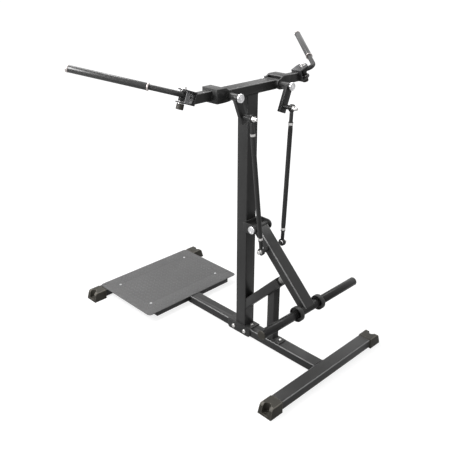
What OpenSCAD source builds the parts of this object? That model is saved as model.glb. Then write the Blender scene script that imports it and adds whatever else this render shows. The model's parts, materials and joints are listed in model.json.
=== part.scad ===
// Standing chest fly machine, plate loaded, rebuilt at real size in millimetres.
// +Z is up, X runs across the machine, the standing platform is on the -Y side
// and the weight lever on the +Y side. The origin is on the floor at the middle of the base.
// "right" is the +X side and "left" the -X side, as seen by a user who faces the upright.

/* [Base frame] */
// Width of the rail, cross tube, crossbar and lever section
tube_w = 75; // [60:1:90]
// Height of the rail, cross tube, crossbar and lever section
tube_h = 50; // [40:1:60]
// Outer corner radius of the frame tubes
tube_r = 5; // [2:0.5:8]
// Wall thickness of the frame tubes
tube_wall = 3; // [2:0.5:5]
// Inner corner radius of the frame tubes
tube_inner_r = 2.5; // [1:0.5:5]
// Gap between the floor and the underside of the base tubes
floor_gap = 9; // [5:1:20]
// Distance from the middle of the base to the centre of each cross tube
cross_y = 761; // [650:1:850]
// Half length of a cross tube, to the seam with its end foot
cross_half = 374; // [320:1:430]
// Length of an end foot past the end of its tube
foot_len = 97; // [60:1:130]
// Width of an end foot where it meets the floor
foot_w = 88; // [80:1:100]
// Height of an end foot above the top of its tube
foot_rise = 2; // [0:1:4]
// Height of the upright lip at the outer end of a foot
foot_lip = 4; // [1:1:10]
// Rounding of the long top edges of a foot
foot_edge = 6; // [2:1:10]
// Width of an end foot at its top
foot_top_w = 82; // [70:1:88]
// Length of the foot's collar, which is as wide as the tube
foot_collar = 8; // [0:1:20]
// Lean of the outer end of a foot from the vertical
foot_rake = 15; // [0:1:30]
// Radius between the top and the outer end of a foot
foot_round = 20; // [10:1:35]
// Width of the pocket over the floor bolt hole
foot_pocket_w = 42; // [20:1:55]
// Distance of the floor bolt hole from the outer end of the foot
foot_hole_in = 20; // [15:1:40]
// Thickness of the foot under the pocket
foot_floor = 12; // [6:1:20]
// Diameter of the floor bolt hole
foot_hole_d = 9; // [6:0.5:12]
// Length of the plug that holds a foot in its tube
foot_plug = 30; // [10:1:60]
// Distance of the seam between the two rails in front of the upright's centre
rail_seam_in = 9; // [0:1:30]
// Width of the seam between the two rails, hidden in the saddle
rail_seam = 1; // [0.2:0.1:3]

/* [Platform] */
// Width of the standing plate
plate_w = 742; // [600:1:800]
// Front to rear length of the standing plate
plate_l = 524; // [400:1:600]
// Thickness of the standing plate
plate_t = 4; // [3:0.5:8]
// Corner radius of the standing plate
plate_r = 22; // [5:1:50]
// Half spacing of the plate screws across the machine
plate_screw_x = 276; // [200:1:290]
// Distance of the front screws from the front edge of the plate
plate_screw_front = 95; // [60:1:120]
// Distance of the rear screws from the rear edge of the plate
plate_screw_rear = 105; // [60:1:140]
// Shank diameter of the plate screws
plate_screw_d = 8; // [5:1:10]
// Length of a plate screw under the plate
plate_screw_l = 16; // [8:1:25]
// Diameter of a plate screw's head
plate_screw_head_d = 15; // [12:1:20]
// Height of a plate screw's head
plate_screw_head_t = 4; // [2:0.5:6]
// Half length of the bearer across the rear of the plate
bearer_half = 303; // [280:1:350]
// Thickness of the bearer across the rear of the plate
bearer_t = 35; // [20:1:50]
// Distance of the rear bearer from the rear edge of the plate
bearer_back = 11; // [0:1:30]
// Width of the two lengthways bearers that take the screws
side_bearer_w = 30; // [20:1:50]
// Height of the two lengthways bearers
side_bearer_h = 30; // [20:1:35]

/* [Upright and crossbar] */
// Distance of the upright's centre behind the middle of the base
upright_y = 171; // [100:1:250]
// Side of the square upright
upright_w = 75; // [60:1:90]
// Height of the crossbar's centre line and of both arm axles
axle_z = 1453; // [1300:1:1600]
// Distance of each arm axle from the middle of the machine
axle_x = 187; // [150:1:230]
// Outer diameter of the pivot housings at the crossbar ends
housing_d = 50; // [44:1:60]
// Length of a pivot housing
housing_l = 88; // [78:1:120]
// Distance of the crossbar's cut end from the arm axle
crossbar_in = 15; // [10:1:22]

/* [Saddle joint under the upright] */
// Sheet thickness of the saddle
saddle_t = 5; // [3:0.5:8]
// Length of the saddle along the rail
saddle_l = 181; // [150:1:220]
// Distance of the saddle's rear edge behind the upright's centre
saddle_rear = 80; // [70:1:110]
// Gap between the floor and the saddle's side plates
saddle_gap = 3; // [1:1:8]
// Bevel on the lower corners of the saddle
saddle_bevel = 12; // [4:1:20]
// Step along the long top edges of the saddle
saddle_step = 3; // [1:0.5:4]
// Spacing of the two bolts through the side of the saddle
side_bolt_pitch = 87; // [70:1:110]
// Shank diameter of the side bolts
side_bolt_d = 16; // [12:1:20]
// Distance of the side bolts' middle behind the middle of the saddle
side_bolt_shift = 4; // [0:1:10]
// Distance of the side bolts below the middle of the rail
side_bolt_drop = 3; // [0:1:8]
// Diameter of a side bolt's round head
side_bolt_head_d = 25; // [22:1:32]
// Height of a side bolt's round head
side_bolt_head_t = 9; // [6:1:12]
// Width over corners of a side bolt's nut
side_nut_w = 27; // [24:1:32]
// Height of a side bolt's nut
side_nut_t = 11; // [8:1:14]
// Distance of each top bolt from the upright's centre
top_bolt_y = 57; // [50:1:65]
// Shank diameter of the top bolts and foot plate bolts
top_bolt_d = 10; // [8:1:12]
// Width over corners of a top bolt's head
top_bolt_head_w = 19; // [16:1:22]
// Height of a top bolt's head
top_bolt_head_t = 7; // [5:1:9]
// Length of a top bolt under its head
top_bolt_l = 24; // [16:1:40]

/* [Stop strut, post and bumper] */
// Height at which the strut's centre line would meet the upright's centre
strut_z = 180; // [150:1:250]
// Sum of rearward distance and height at the strut's square end
strut_end = 727; // [680:1:740]
// Thickness of the plate that closes the strut's end
strut_cap_t = 5; // [3:1:8]
// Side of the square post under the strut
post_w = 50; // [40:1:60]
// Distance of the post's centre behind the upright's centre
post_y = 219.5; // [180:0.5:240]
// Length of the post's foot plate
post_plate_l = 155; // [120:1:180]
// Width of the post's foot plate
post_plate_w = 60; // [50:1:70]
// Thickness of the post's foot plate
post_plate_t = 6; // [4:1:10]
// Corner radius of the post's foot plate
post_plate_r = 4; // [1:1:10]
// Distance of the foot plate's bolts from its ends
post_bolt_in = 20; // [15:1:26]
// Diameter of the rubber stop bumper
bumper_d = 44; // [30:1:48]
// Rounding of the bumper's face
bumper_edge = 3; // [1:0.5:6]

/* [Lever] */
// Distance of the lever pivot behind the upright's centre
lever_y = 104; // [95:0.5:130]
// Height of the lever pivot
lever_z = 718.5; // [650:0.5:800]
// Distance from the lever pivot to the weight horn's centre line
lever_len = 502.5; // [450:0.5:560]
// Distance from the lever pivot to the cut end of the lever tube
lever_start = 8; // [0:1:15]
// Distance from the lever pivot to the link pins
link_pin_r = 127; // [110:1:150]
// Half spacing of the link pins' ball centres
link_pin_x = 84; // [78:1:100]
// Outer diameter of the tube the lever turns on
lever_tube_d = 38; // [34:1:44]
// Diameter of the lever's axle
lever_axle_d = 24; // [18:1:28]
// Half width of the lever bracket over its cheeks
bracket_half = 65; // [60:1:72]
// Thickness of the bracket's plates
bracket_t = 8; // [5:1:10]
// Height of the bracket's cheeks
bracket_h = 55; // [46:1:70]
// Diameter of the bright caps on the lever axle and the arm axles' rear ends
cap_d = 44; // [36:1:48]
// Thickness of the bright axle caps
cap_t = 8; // [4:1:12]
// Rounding of the bright axle caps
cap_edge = 4; // [1:0.5:5]

/* [Weight horns] */
// Outer diameter of the weight horns
horn_d = 48; // [44:0.5:49.5]
// Half length of the horn tube, without the end caps
horn_half = 379; // [300:1:420]
// How far the horn tube sits off the lever's middle, to the left
horn_shift = 22; // [0:1:30]
// Wall thickness of the horns
horn_wall = 4; // [3:0.5:6]
// Outer diameter of the horn tube where it passes through the lever and the collars
horn_seat_d = 47; // [42:0.5:47.5]
// Distance of a plate collar's inner face from the middle
collar_x = 74; // [60:1:100]
// Length of a plate collar
collar_l = 24; // [12:1:30]
// Outer diameter of a plate collar
collar_d = 82; // [65:1:95]
// Rim thickness of a plate collar
collar_rim = 5; // [3:0.5:8]
// Thickness of the disc inside a plate collar
collar_web = 6; // [3:0.5:10]
// Thickness of the horns' end caps
horn_cap_t = 8; // [4:1:15]
// Rounding of the horns' end caps
horn_cap_edge = 4; // [1:0.5:6]
// Length of an end cap's plug inside the horn
horn_cap_plug = 15; // [8:1:25]

/* [Link rods] */
// Outer diameter of the link rods
rod_d = 25; // [20:0.5:30]
// Diameter of a link rod at its ends
rod_end_d = 22.5; // [20:0.5:25]
// Length over which a link rod narrows at each end
rod_taper = 20; // [5:1:40]
// Distance from the lower ball centre to the rod's lower end
rod_low = 83; // [75:1:105]
// Distance from the upper ball centre to the rod's upper end
rod_high = 88; // [80:1:120]
// Diameter of the ball in a rod end
ball_d = 28.6; // [26:0.1:32]
// Width of the ball along its bore
ball_w = 21; // [18:0.5:22]
// Outer diameter of a rod end's eye
eye_d = 40; // [38:1:46]
// Width of a rod end's eye
eye_w = 15; // [12:0.5:17]
// Shank diameter of a rod end and of the link pins
pin_d = 16; // [12:1:18]
// Diameter of the round bosses that carry the link pins
boss_d = 24; // [20:1:30]
// Diameter of a rod end's neck, between its eye and its jam nut
rod_neck_d = 20; // [17:1:25]
// Diameter of the rim at the foot of a rod end's neck
rod_rim_d = 26; // [24:1:28]
// Height of the rim at the foot of a rod end's neck
rod_rim_t = 5; // [2:1:8]
// Length of a rod end's shank inside the rod
rod_thread = 20; // [12:1:30]
// Depth by which a rod end's shank runs into its eye
eye_root = 3; // [2.5:0.5:5]
// Width over corners of a jam nut
jam_nut_w = 27; // [24:1:32]
// Height of a jam nut
jam_nut_t = 13; // [8:1:16]
// Width over corners of the nuts on the link pins and ball studs
pin_nut_w = 26; // [22:1:30]
// Height of the nuts on the link pins and ball studs
pin_nut_t = 9; // [6:1:12]
// Diameter of the washers on the handle pivots
washer_d = 30; // [24:1:34]
// Thickness of the washers
washer_t = 2; // [1:0.5:4]
// Length of a bolt past its nut
bolt_end = 2; // [1:0.5:5]
// Diameter of the washers on the link pins and ball studs
pin_washer_d = 24; // [20:1:28]
// Length of a link pin past its nut
pin_end = 5; // [2:1:8]
// Length of a ball stud past its nut
stud_end = 14; // [2:1:16]

/* [Arms] */
// Angle between the cranks and the vertical at rest
crank_angle = 21.6; // [15:0.1:30]
// Distance from the arm axle to the crank's ball centre
crank_r = 105; // [90:1:115]
// Length of the crank bar below the axle
crank_l = 138; // [125:1:150]
// Width of the crank bar
crank_w = 45; // [38:1:50]
// Thickness of the crank bar
crank_t = 20; // [12:1:25]
// Distance of the crank bar's front face behind the upright's centre
crank_y = 98; // [80:1:102]
// Distance of the crank's ball centre behind the upright's centre
crank_ball_y = 167.5; // [160:0.5:180]
// Outer diameter of the crank's hub tube
crank_tube_d = 35; // [33:1:42]
// End of the crank's hub tube behind the upright's centre
crank_tube_end = 128.5; // [120:0.5:135]
// Diameter of the arm axles
axle_d = 30; // [24:1:32]
// Diameter of the bright cap on an arm axle's front end
front_cap_d = 58; // [46:1:64]
// Thickness of the bright cap on an arm axle's front end
front_cap_t = 20; // [6:1:24]
// Thickness of the hub's front and rear plates
hub_plate_t = 10; // [6:1:12]
// Width of the hub plates around the housing's outline
hub_lip = 2; // [1:0.5:4]
// Height of the box part of an arm hub
hub_h = 70; // [58:1:76]
// Height of the hub's centre above the axle
hub_rise = 6; // [0:1:8]
// Distance of the hub box's inner face from the axle
hub_in = 29; // [28:1:34]
// Distance of the hub's outer face from the axle
hub_out = 80; // [65:0.5:95]
// Distance from the axle to the upper shoulder of the hub's plates
hub_shoulder = 22; // [18:1:28]
// Distance from the axle to the near edge of the lid between the hub's plates
hub_lid_in = 14; // [8:1:17]
// Thickness of the lid between the hub's plates
hub_lid_t = 5; // [3:0.5:5]
// Radius of the hub's two upright outer corners
hub_corner_r = 8; // [2:1:12]
// Height of the arm tube
arm_h = 49; // [40:1:52]
// Height of the arm tube's centre above the axle
arm_rise = 7; // [0:1:10]
// Front to rear width of the arm tube
arm_w = 37; // [30:1:50]

/* [Clevis brackets and handles] */
// Distance of the handle pivot's centre from the middle of the machine
clevis_x = 435; // [410:1:470]
// Height of the handle pivot's centre above the arm axle
clevis_rise = 30; // [20:1:40]
// Tilt of the clevis bracket, its top leaning inward
clevis_tilt = 20; // [15:0.5:25]
// Distance from the handle pivot to the bracket's web
clevis_in = 58; // [52:1:64]
// Distance from the handle pivot to the bracket's outer end
clevis_out = 24; // [20:1:32]
// Front to rear width of the bracket
clevis_w = 67; // [58:1:74]
// Height of the bracket over both plates
clevis_h = 65; // [56:1:72]
// Thickness of the bracket's plates
clevis_t = 6; // [4:0.5:8]
// Corner to corner size of the square hole in the bracket's web
web_hole = 14; // [6:1:18]
// Height of the square hole's centre above the middle of the web
web_hole_up = 2; // [0:1:6]
// Half spacing of the two small bolts in the web
web_bolt_y = 12; // [8:1:18]
// Distance of the small bolts below the top plate
web_bolt_drop = 7; // [6:1:12]
// Head diameter of the small bolts in the web
web_bolt_d = 9; // [6:1:11]
// Head height of the small bolts in the web
web_bolt_t = 3; // [2:0.5:4]
// Diameter of the handle's pivot bolt
pivot_d = 16; // [12:1:18]
// Height of the pivot bolt's head
pivot_head_t = 10; // [7:1:13]
// Outer diameter of the handle's pivot sleeve
sleeve_d = 32; // [28:1:36]
// Outer diameter of the handle tube
handle_d = 25.4; // [22:0.1:28]
// Distance of the grip's line from the pivot's centre line
grip_offset = 63; // [55:1:75]
// Bend radius of the handle tube
bend_r = 45; // [35:1:50]
// Distance of the handle tube above the pivot's centre
handle_rise = 6; // [0:1:7]
// Slope of the grip against the plane the handle swings in
grip_droop = 1.5; // [0:0.5:4]
// Swing of the handles at rest, outward from straight ahead
handle_swing = 40.5; // [0:0.5:60]
// Distance along the grip's line to the bright collar
grip_start = 149; // [120:1:180]
// Length of the bright collar
grip_collar_l = 7; // [4:1:12]
// Length of the rubber grip
grip_l = 365; // [250:1:400]
// Outer diameter of the rubber grip
grip_d = 34; // [30:0.5:40]
// Length of the bright end cap
grip_cap_l = 12; // [6:1:20]
// Height of the bright collar above the rubber
grip_flange = 2; // [1:0.5:4]
// Height of the end cap's rim above the rubber
grip_cap_lip = 1; // [0.5:0.5:3]
// Rounding of the bright end cap
grip_cap_edge = 5; // [2:0.5:8]
// Length of the pivot bolt below the bracket
knob_bolt_l = 16; // [12:1:22]
// Thickness of the ring between bracket and knob
knob_ring_t = 3; // [2:0.5:5]
// Diameter of the knob under the bracket
knob_d = 36; // [30:1:42]
// Height of the knob under the bracket
knob_h = 27; // [20:1:35]
// Rounding of the knob's end
knob_edge = 3; // [1:0.5:6]

/* [Clearances] */
// Radial running clearance of shafts in their bores
run_c = 0.05; // [0.02:0.01:0.1]
// Side clearance between turning parts and what they turn against
side_c = 0.4; // [0.2:0.1:1]
// Gap between the crank's boss and the upper ball, which leaves room for the rod's tilt
stud_c = 0.8; // [0.6:0.1:2]
// Gap between the bumper and the resting lever
bumper_c = 0.3; // [0.1:0.1:0.5]
// Clearance of plugs, bolts and screws in their holes
fit_c = 0.25; // [0.1:0.05:0.5]
// Free depth past the end of a shank in its blind hole
depth_c = 2; // [1:0.5:4]

/* [Hidden] */
$fn = 64;
// Slope of the stop strut and of the resting lever
slope = 45;
// Overrun of the cutting shapes
over = 1;
post_bolt_y = post_plate_l / 2 - post_bolt_in;
tube_z = floor_gap + tube_h / 2;
tube_top = floor_gap + tube_h;
saddle_top = tube_top + saddle_t;
saddle_mid = upright_y + saddle_rear - saddle_l / 2;
rail_joint = upright_y - rail_seam_in;
side_bolt_mid = saddle_mid + side_bolt_shift;
side_bolt_z = tube_z - side_bolt_drop;
plate_front = -cross_y - tube_w / 2;
plate_mid = plate_front + plate_l / 2;
screw_front = plate_front + plate_screw_front;
screw_rear = plate_front + plate_l - plate_screw_rear;
bearer_rear = plate_front + plate_l - bearer_back;
cross_inner = cross_y - tube_w / 2;
upright_top = axle_z - tube_h / 2;
upright_rear = upright_y + upright_w / 2;
lever_pivot_y = upright_y + lever_y;
lever_under = lever_y + lever_z - tube_h / 2 / cos(slope);
cheek_in = bracket_half - bracket_t;
low_y = lever_pivot_y + link_pin_r * cos(slope);
low_z = lever_z - link_pin_r * sin(slope);
high_x = axle_x - crank_r * sin(crank_angle);
high_y = upright_y + crank_ball_y;
high_z = axle_z - crank_r * cos(crank_angle);
link_dx = high_x - link_pin_x;
link_dy = high_y - low_y;
link_dz = high_z - low_z;
link_len = sqrt(link_dx * link_dx + link_dy * link_dy + link_dz * link_dz);
link_tilt = asin(-link_dy / link_len);
link_lean = atan2(link_dx, link_dz);
hub_face = housing_l / 2 + side_c;
hub_half = hub_face + hub_plate_t;
hub_round = housing_d / 2 + hub_lip;
ball_flat = ball_w / 2;
clevis_half = clevis_h / 2;
sleeve_half = clevis_half - clevis_t - washer_t - side_c;
clevis_z = axle_z + clevis_rise;
grip_end = grip_start + grip_collar_l + grip_l;

// Plain shapes shared by several parts

module rounded_rect(w, h, r) {
    square([w - 2 * r, h], center = true);
    square([w, h - 2 * r], center = true);
    for (sx = [-1, 1], sy = [-1, 1])
        translate([sx * (w / 2 - r), sy * (h / 2 - r)])
            circle(r);
}

module tube_section(w, h) {
    difference() {
        rounded_rect(w, h, tube_r);
        rounded_rect(w - 2 * tube_wall, h - 2 * tube_wall, tube_inner_r);
    }
}

module along_x(length) {
    rotate([90, 0, 90])
        linear_extrude(length, center = true)
            children();
}

module along_y(from, to) {
    translate([0, to, 0])
        rotate([90, 0, 0])
            linear_extrude(to - from)
                children();
}

module rod_x(from, to, d) {
    translate([from, 0, 0])
        rotate([0, 90, 0])
            cylinder(h = to - from, d = d);
}

module rod_y(from, to, d) {
    translate([0, to, 0])
        rotate([90, 0, 0])
            cylinder(h = to - from, d = d);
}

// Disc with a rounded outer edge, standing on z = 0
module domed_cap(d, t, edge) {
    rotate_extrude() {
        square([d / 2 - edge, t]);
        square([d / 2, t - edge]);
        translate([d / 2 - edge, t - edge])
            intersection() {
                circle(edge);
                square(edge);
            }
    }
}

module hex_head(w, t) {
    cylinder(h = t, d = w, $fn = 6);
}

module hex_nut(w, t, bore) {
    difference() {
        hex_head(w, t);
        translate([0, 0, -over])
            cylinder(h = t + 2 * over, d = bore);
    }
}

// Round head with a hexagon socket
module button_head(d, t) {
    round_share = 0.6;
    socket_share = 0.4;
    difference() {
        domed_cap(d, t, t * round_share);
        translate([0, 0, t * socket_share])
            cylinder(h = t, d = d * socket_share, $fn = 6);
    }
}

module mirror_x() {
    mirror([1, 0, 0])
        children();
}

// Base frame

module cross_tube() {
    along_x(2 * cross_half)
        tube_section(tube_w, tube_h);
}

// Side view of a foot, with its outer top corner rounded
module foot_profile() {
    top = tube_top + foot_rise;
    corner_z = top - foot_round;
    corner_x = foot_len - (foot_round + (corner_z - foot_lip) * sin(foot_rake)) / cos(foot_rake);
    polygon([[foot_collar, 0], [foot_len, 0], [foot_len, foot_lip],
             [corner_x + foot_round * cos(foot_rake), corner_z + foot_round * sin(foot_rake)],
             [corner_x, corner_z], [corner_x, top], [foot_collar, top]]);
    translate([corner_x, corner_z])
        circle(foot_round);
}

// End view of a foot, a little wider at the floor than at the top
module foot_section() {
    half = foot_top_w / 2;
    top = tube_top + foot_rise;
    polygon([[-foot_w / 2, 0], [foot_w / 2, 0], [half, top - foot_edge],
             [half - foot_edge, top], [foot_edge - half, top], [-half, top - foot_edge]]);
    for (sy = [-1, 1])
        translate([sy * (half - foot_edge), top - foot_edge])
            circle(foot_edge);
}

module foot_body() {
    intersection() {
        rotate([90, 0, 0])
            linear_extrude(foot_w, center = true)
                foot_profile();
        rotate([90, 0, 90])
            linear_extrude(foot_len)
                foot_section();
    }
    translate([0, 0, tube_z])
        rotate([90, 0, 90])
            linear_extrude(foot_collar)
                rounded_rect(tube_w, tube_h, tube_r);
}

// Pocket that opens outward over the floor bolt hole
module foot_recess() {
    translate([foot_len - foot_hole_in, 0, foot_floor]) {
        cylinder(h = tube_top, d = foot_pocket_w);
        translate([0, -foot_pocket_w / 2, 0])
            cube([foot_len, foot_pocket_w, tube_top]);
    }
    translate([foot_len - foot_hole_in, 0, -over])
        cylinder(h = foot_floor + 2 * over, d = foot_hole_d);
}

module end_foot() {
    translate([cross_half, 0, 0]) {
        difference() {
            foot_body();
            foot_recess();
        }
        translate([-foot_plug, 0, tube_z])
            rotate([90, 0, 90])
                linear_extrude(foot_plug)
                    rounded_rect(tube_w - 2 * tube_wall - 2 * fit_c,
                                 tube_h - 2 * tube_wall - 2 * fit_c, tube_inner_r);
    }
}

module front_cross_tube() {
    color("#2b2b2d")
        translate([0, -cross_y, tube_z])
            cross_tube();
}

module rear_cross_tube() {
    color("#2b2b2d")
        translate([0, cross_y, tube_z])
            cross_tube();
}

module front_feet() {
    color("#3f3c36")
        translate([0, -cross_y, 0]) {
            end_foot();
            mirror_x()
                end_foot();
        }
}

module rear_feet() {
    color("#3f3c36")
        translate([0, cross_y, 0]) {
            end_foot();
            mirror_x()
                end_foot();
        }
}

module side_bolt_holes(d) {
    for (s = [-1, 1])
        translate([0, side_bolt_mid + s * side_bolt_pitch / 2, side_bolt_z])
            rotate([0, 90, 0])
                cylinder(h = 2 * tube_w, d = d, center = true);
}

module top_bolt_holes(d) {
    for (s = [-1, 1])
        translate([0, upright_y + s * top_bolt_y, tube_z])
            cylinder(h = tube_h, d = d);
}

module front_rail() {
    color("#2b2b2d")
        difference() {
            translate([0, 0, tube_z])
                along_y(-cross_inner, rail_joint)
                    tube_section(tube_w, tube_h);
            side_bolt_holes(side_bolt_d + 2 * fit_c);
            top_bolt_holes(top_bolt_d + 2 * fit_c);
        }
}

module rear_rail() {
    color("#2b2b2d")
        difference() {
            translate([0, 0, tube_z])
                along_y(rail_joint + rail_seam, cross_inner)
                    tube_section(tube_w, tube_h);
            side_bolt_holes(side_bolt_d + 2 * fit_c);
            top_bolt_holes(top_bolt_d + 2 * fit_c);
            post_bolt_holes(top_bolt_d + 2 * fit_c);
        }
}

// Platform

module plate_screw_places() {
    for (sx = [-1, 1], y = [screw_front, screw_rear])
        translate([sx * plate_screw_x, y, 0])
            children();
}

module platform_plate() {
    color("#74767a")
        difference() {
            translate([0, plate_mid, tube_top])
                linear_extrude(plate_t)
                    rounded_rect(plate_w, plate_l, plate_r);
            plate_screw_places()
                translate([0, 0, tube_top - over])
                    cylinder(h = plate_t + 2 * over, d = plate_screw_d + 2 * fit_c, $fn = 32);
        }
}

module rear_bearers() {
    color("#2b2b2d")
        for (s = [0, 1])
            mirror([s, 0, 0])
                translate([tube_w / 2, bearer_rear - bearer_t, tube_top - bearer_t])
                    cube([bearer_half - tube_w / 2, bearer_t, bearer_t]);
}

module side_bearers() {
    color("#2b2b2d")
        difference() {
            for (s = [0, 1])
                mirror([s, 0, 0])
                    translate([plate_screw_x - side_bearer_w / 2, -cross_inner, tube_top - side_bearer_h])
                        cube([side_bearer_w, bearer_rear - bearer_t + cross_inner, side_bearer_h]);
            plate_screw_places()
                translate([0, 0, tube_top - side_bearer_h - over])
                    cylinder(h = side_bearer_h + 2 * over, d = plate_screw_d + 2 * fit_c, $fn = 32);
        }
}

module platform_screws() {
    color("#c9cacc")
        plate_screw_places()
            translate([0, 0, tube_top + plate_t]) {
                button_head(plate_screw_head_d, plate_screw_head_t);
                translate([0, 0, -plate_t - plate_screw_l])
                    cylinder(h = plate_t + plate_screw_l, d = plate_screw_d, $fn = 32);
            }
}

// Saddle that joins the two rails and carries the upright

module saddle_side() {
    translate([tube_w / 2, 0, 0])
        rotate([90, 0, 90])
            linear_extrude(saddle_t)
                polygon([[saddle_mid - saddle_l / 2 + saddle_bevel, saddle_gap],
                         [saddle_mid + saddle_l / 2 - saddle_bevel, saddle_gap],
                         [saddle_mid + saddle_l / 2, saddle_gap + saddle_bevel],
                         [saddle_mid + saddle_l / 2, saddle_top - saddle_step],
                         [saddle_mid - saddle_l / 2, saddle_top - saddle_step],
                         [saddle_mid - saddle_l / 2, saddle_gap + saddle_bevel]]);
}

module base_saddle() {
    color("#2b2b2d")
        difference() {
            union() {
                saddle_side();
                mirror_x()
                    saddle_side();
                translate([0, saddle_mid, tube_top])
                    linear_extrude(saddle_t - saddle_step)
                        square([tube_w + 2 * saddle_t, saddle_l], center = true);
                translate([0, saddle_mid, saddle_top - saddle_step])
                    linear_extrude(saddle_step)
                        square([tube_w + 2 * (saddle_t - saddle_step), saddle_l], center = true);
            }
            side_bolt_holes(side_bolt_d + 2 * fit_c);
            top_bolt_holes(top_bolt_d + 2 * fit_c);
        }
}

module side_bolt() {
    reach = tube_w / 2 + saddle_t;
    rod_x(-reach - side_nut_t - bolt_end, reach, side_bolt_d);
    translate([reach, 0, 0])
        rotate([0, 90, 0])
            button_head(side_bolt_head_d, side_bolt_head_t);
    translate([-reach, 0, 0])
        rotate([0, -90, 0])
            hex_nut(side_nut_w, side_nut_t, side_bolt_d);
}

module top_bolt() {
    hex_head(top_bolt_head_w, top_bolt_head_t);
    translate([0, 0, -top_bolt_l])
        cylinder(h = top_bolt_l + over, d = top_bolt_d);
}

module saddle_bolts() {
    color("#c9cacc") {
        for (s = [-1, 1])
            translate([0, side_bolt_mid + s * side_bolt_pitch / 2, side_bolt_z])
                side_bolt();
        for (s = [-1, 1])
            translate([0, upright_y + s * top_bolt_y, saddle_top])
                top_bolt();
    }
}

// Upright, crossbar and housings

module upright() {
    color("#2b2b2d")
        translate([0, upright_y, saddle_top])
            linear_extrude(upright_top - saddle_top)
                tube_section(upright_w, upright_w);
}

module crossbar() {
    color("#2b2b2d")
        difference() {
            translate([0, upright_y, axle_z])
                along_x(2 * (axle_x - crossbar_in))
                    tube_section(upright_w, tube_h);
            for (s = [-1, 1])
                translate([s * axle_x, upright_y, axle_z])
                    rod_y(-housing_l, housing_l, housing_d);
        }
}

module pivot_housings() {
    color("#2b2b2d")
        for (s = [-1, 1])
            translate([s * axle_x, upright_y, axle_z])
                difference() {
                    rod_y(-housing_l / 2, housing_l / 2, housing_d);
                    rod_y(-housing_l, housing_l, axle_d + 2 * run_c);
                }
}

// Stop strut, post and bumper

module strut_frame() {
    translate([0, upright_y, strut_z])
        rotate([-slope, 0, 0])
            children();
}

module stop_strut() {
    end_t = (strut_end - strut_z) * cos(slope);
    color("#2b2b2d")
        difference() {
            strut_frame() {
                linear_extrude(end_t - strut_cap_t)
                    tube_section(tube_w, tube_h);
                translate([0, 0, end_t - strut_cap_t])
                    linear_extrude(strut_cap_t)
                        rounded_rect(tube_w, tube_h, tube_r);
            }
            translate([-tube_w, upright_rear - strut_end, 0])
                cube([2 * tube_w, strut_end, strut_end]);
        }
}

module post_bolt_holes(d) {
    for (s = [-1, 1])
        translate([0, upright_y + post_y + s * post_bolt_y, tube_z])
            cylinder(h = tube_h, d = d);
}

module strut_post() {
    color("#2b2b2d")
        difference() {
            union() {
                translate([0, upright_y + post_y, tube_top + post_plate_t])
                    linear_extrude(strut_z + post_y)
                        tube_section(post_w, post_w);
                translate([0, upright_y + post_y, tube_top])
                    linear_extrude(post_plate_t)
                        rounded_rect(post_plate_w, post_plate_l, post_plate_r);
            }
            strut_frame()
                translate([-tube_w, tube_h / 2 - strut_end, -strut_end])
                    cube([2 * tube_w, strut_end, 2 * strut_end]);
            post_bolt_holes(top_bolt_d + 2 * fit_c);
        }
}

module post_bolts() {
    color("#c9cacc")
        for (s = [-1, 1])
            translate([0, upright_y + post_y + s * post_bolt_y, tube_top + post_plate_t])
                top_bolt();
}

module stop_bumper() {
    start_t = (strut_end - strut_z) * cos(slope);
    end_t = (lever_under - strut_z) * cos(slope) - bumper_c;
    color("#8e8f8c")
        strut_frame()
            translate([0, 0, start_t])
                domed_cap(bumper_d, end_t - start_t, bumper_edge);
}

// Lever bracket and lever

module cheek() {
    translate([cheek_in, 0, 0])
        rotate([90, 0, 90])
            linear_extrude(bracket_t) {
                translate([upright_w / 2, -bracket_h / 2])
                    square([lever_y - upright_w / 2, bracket_h]);
                translate([lever_y, 0])
                    circle(d = bracket_h);
            }
}

module lever_bracket() {
    color("#2b2b2d")
        translate([0, upright_y, lever_z])
            difference() {
                union() {
                    cheek();
                    mirror_x()
                        cheek();
                    translate([-cheek_in, upright_w / 2, -bracket_h / 2])
                        cube([2 * cheek_in, bracket_t, bracket_h]);
                }
                translate([0, lever_y, 0])
                    rod_x(-2 * tube_w, 2 * tube_w, lever_axle_d);
            }
}

module lever_axle() {
    color("#d6d7d9")
        translate([0, lever_pivot_y, lever_z]) {
            rod_x(-bracket_half, bracket_half, lever_axle_d);
            for (s = [-1, 1])
                translate([s * bracket_half, 0, 0])
                    rotate([0, s * 90, 0])
                        domed_cap(cap_d, cap_t, cap_edge);
        }
}

module lever_frame() {
    translate([0, lever_pivot_y, lever_z])
        rotate([-90 - slope, 0, 0])
            children();
}

module lever_pivot_tube() {
    color("#2b2b2d")
        translate([0, lever_pivot_y, lever_z])
            difference() {
                rod_x(-cheek_in + side_c, cheek_in - side_c, lever_tube_d);
                rod_x(-2 * tube_w, 2 * tube_w, lever_axle_d + 2 * run_c);
            }
}

// The lever's tube with the two bosses that hold the link pins
module lever_arm() {
    color("#2b2b2d")
        lever_frame()
            difference() {
                union() {
                    translate([0, 0, lever_start])
                        linear_extrude(lever_len - lever_start)
                            tube_section(tube_w, tube_h);
                    for (s = [0, 1])
                        mirror([s, 0, 0])
                            translate([0, 0, link_pin_r])
                                rod_x(tube_w / 2 - over, link_pin_x - ball_flat - side_c, boss_d);
                }
                translate([0, 0, link_pin_r])
                    rod_x(-2 * tube_w, 2 * tube_w, pin_d);
                rod_x(-tube_w, tube_w, lever_tube_d);
                translate([0, 0, lever_len])
                    rod_x(-tube_w, tube_w, horn_seat_d);
            }
}

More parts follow.
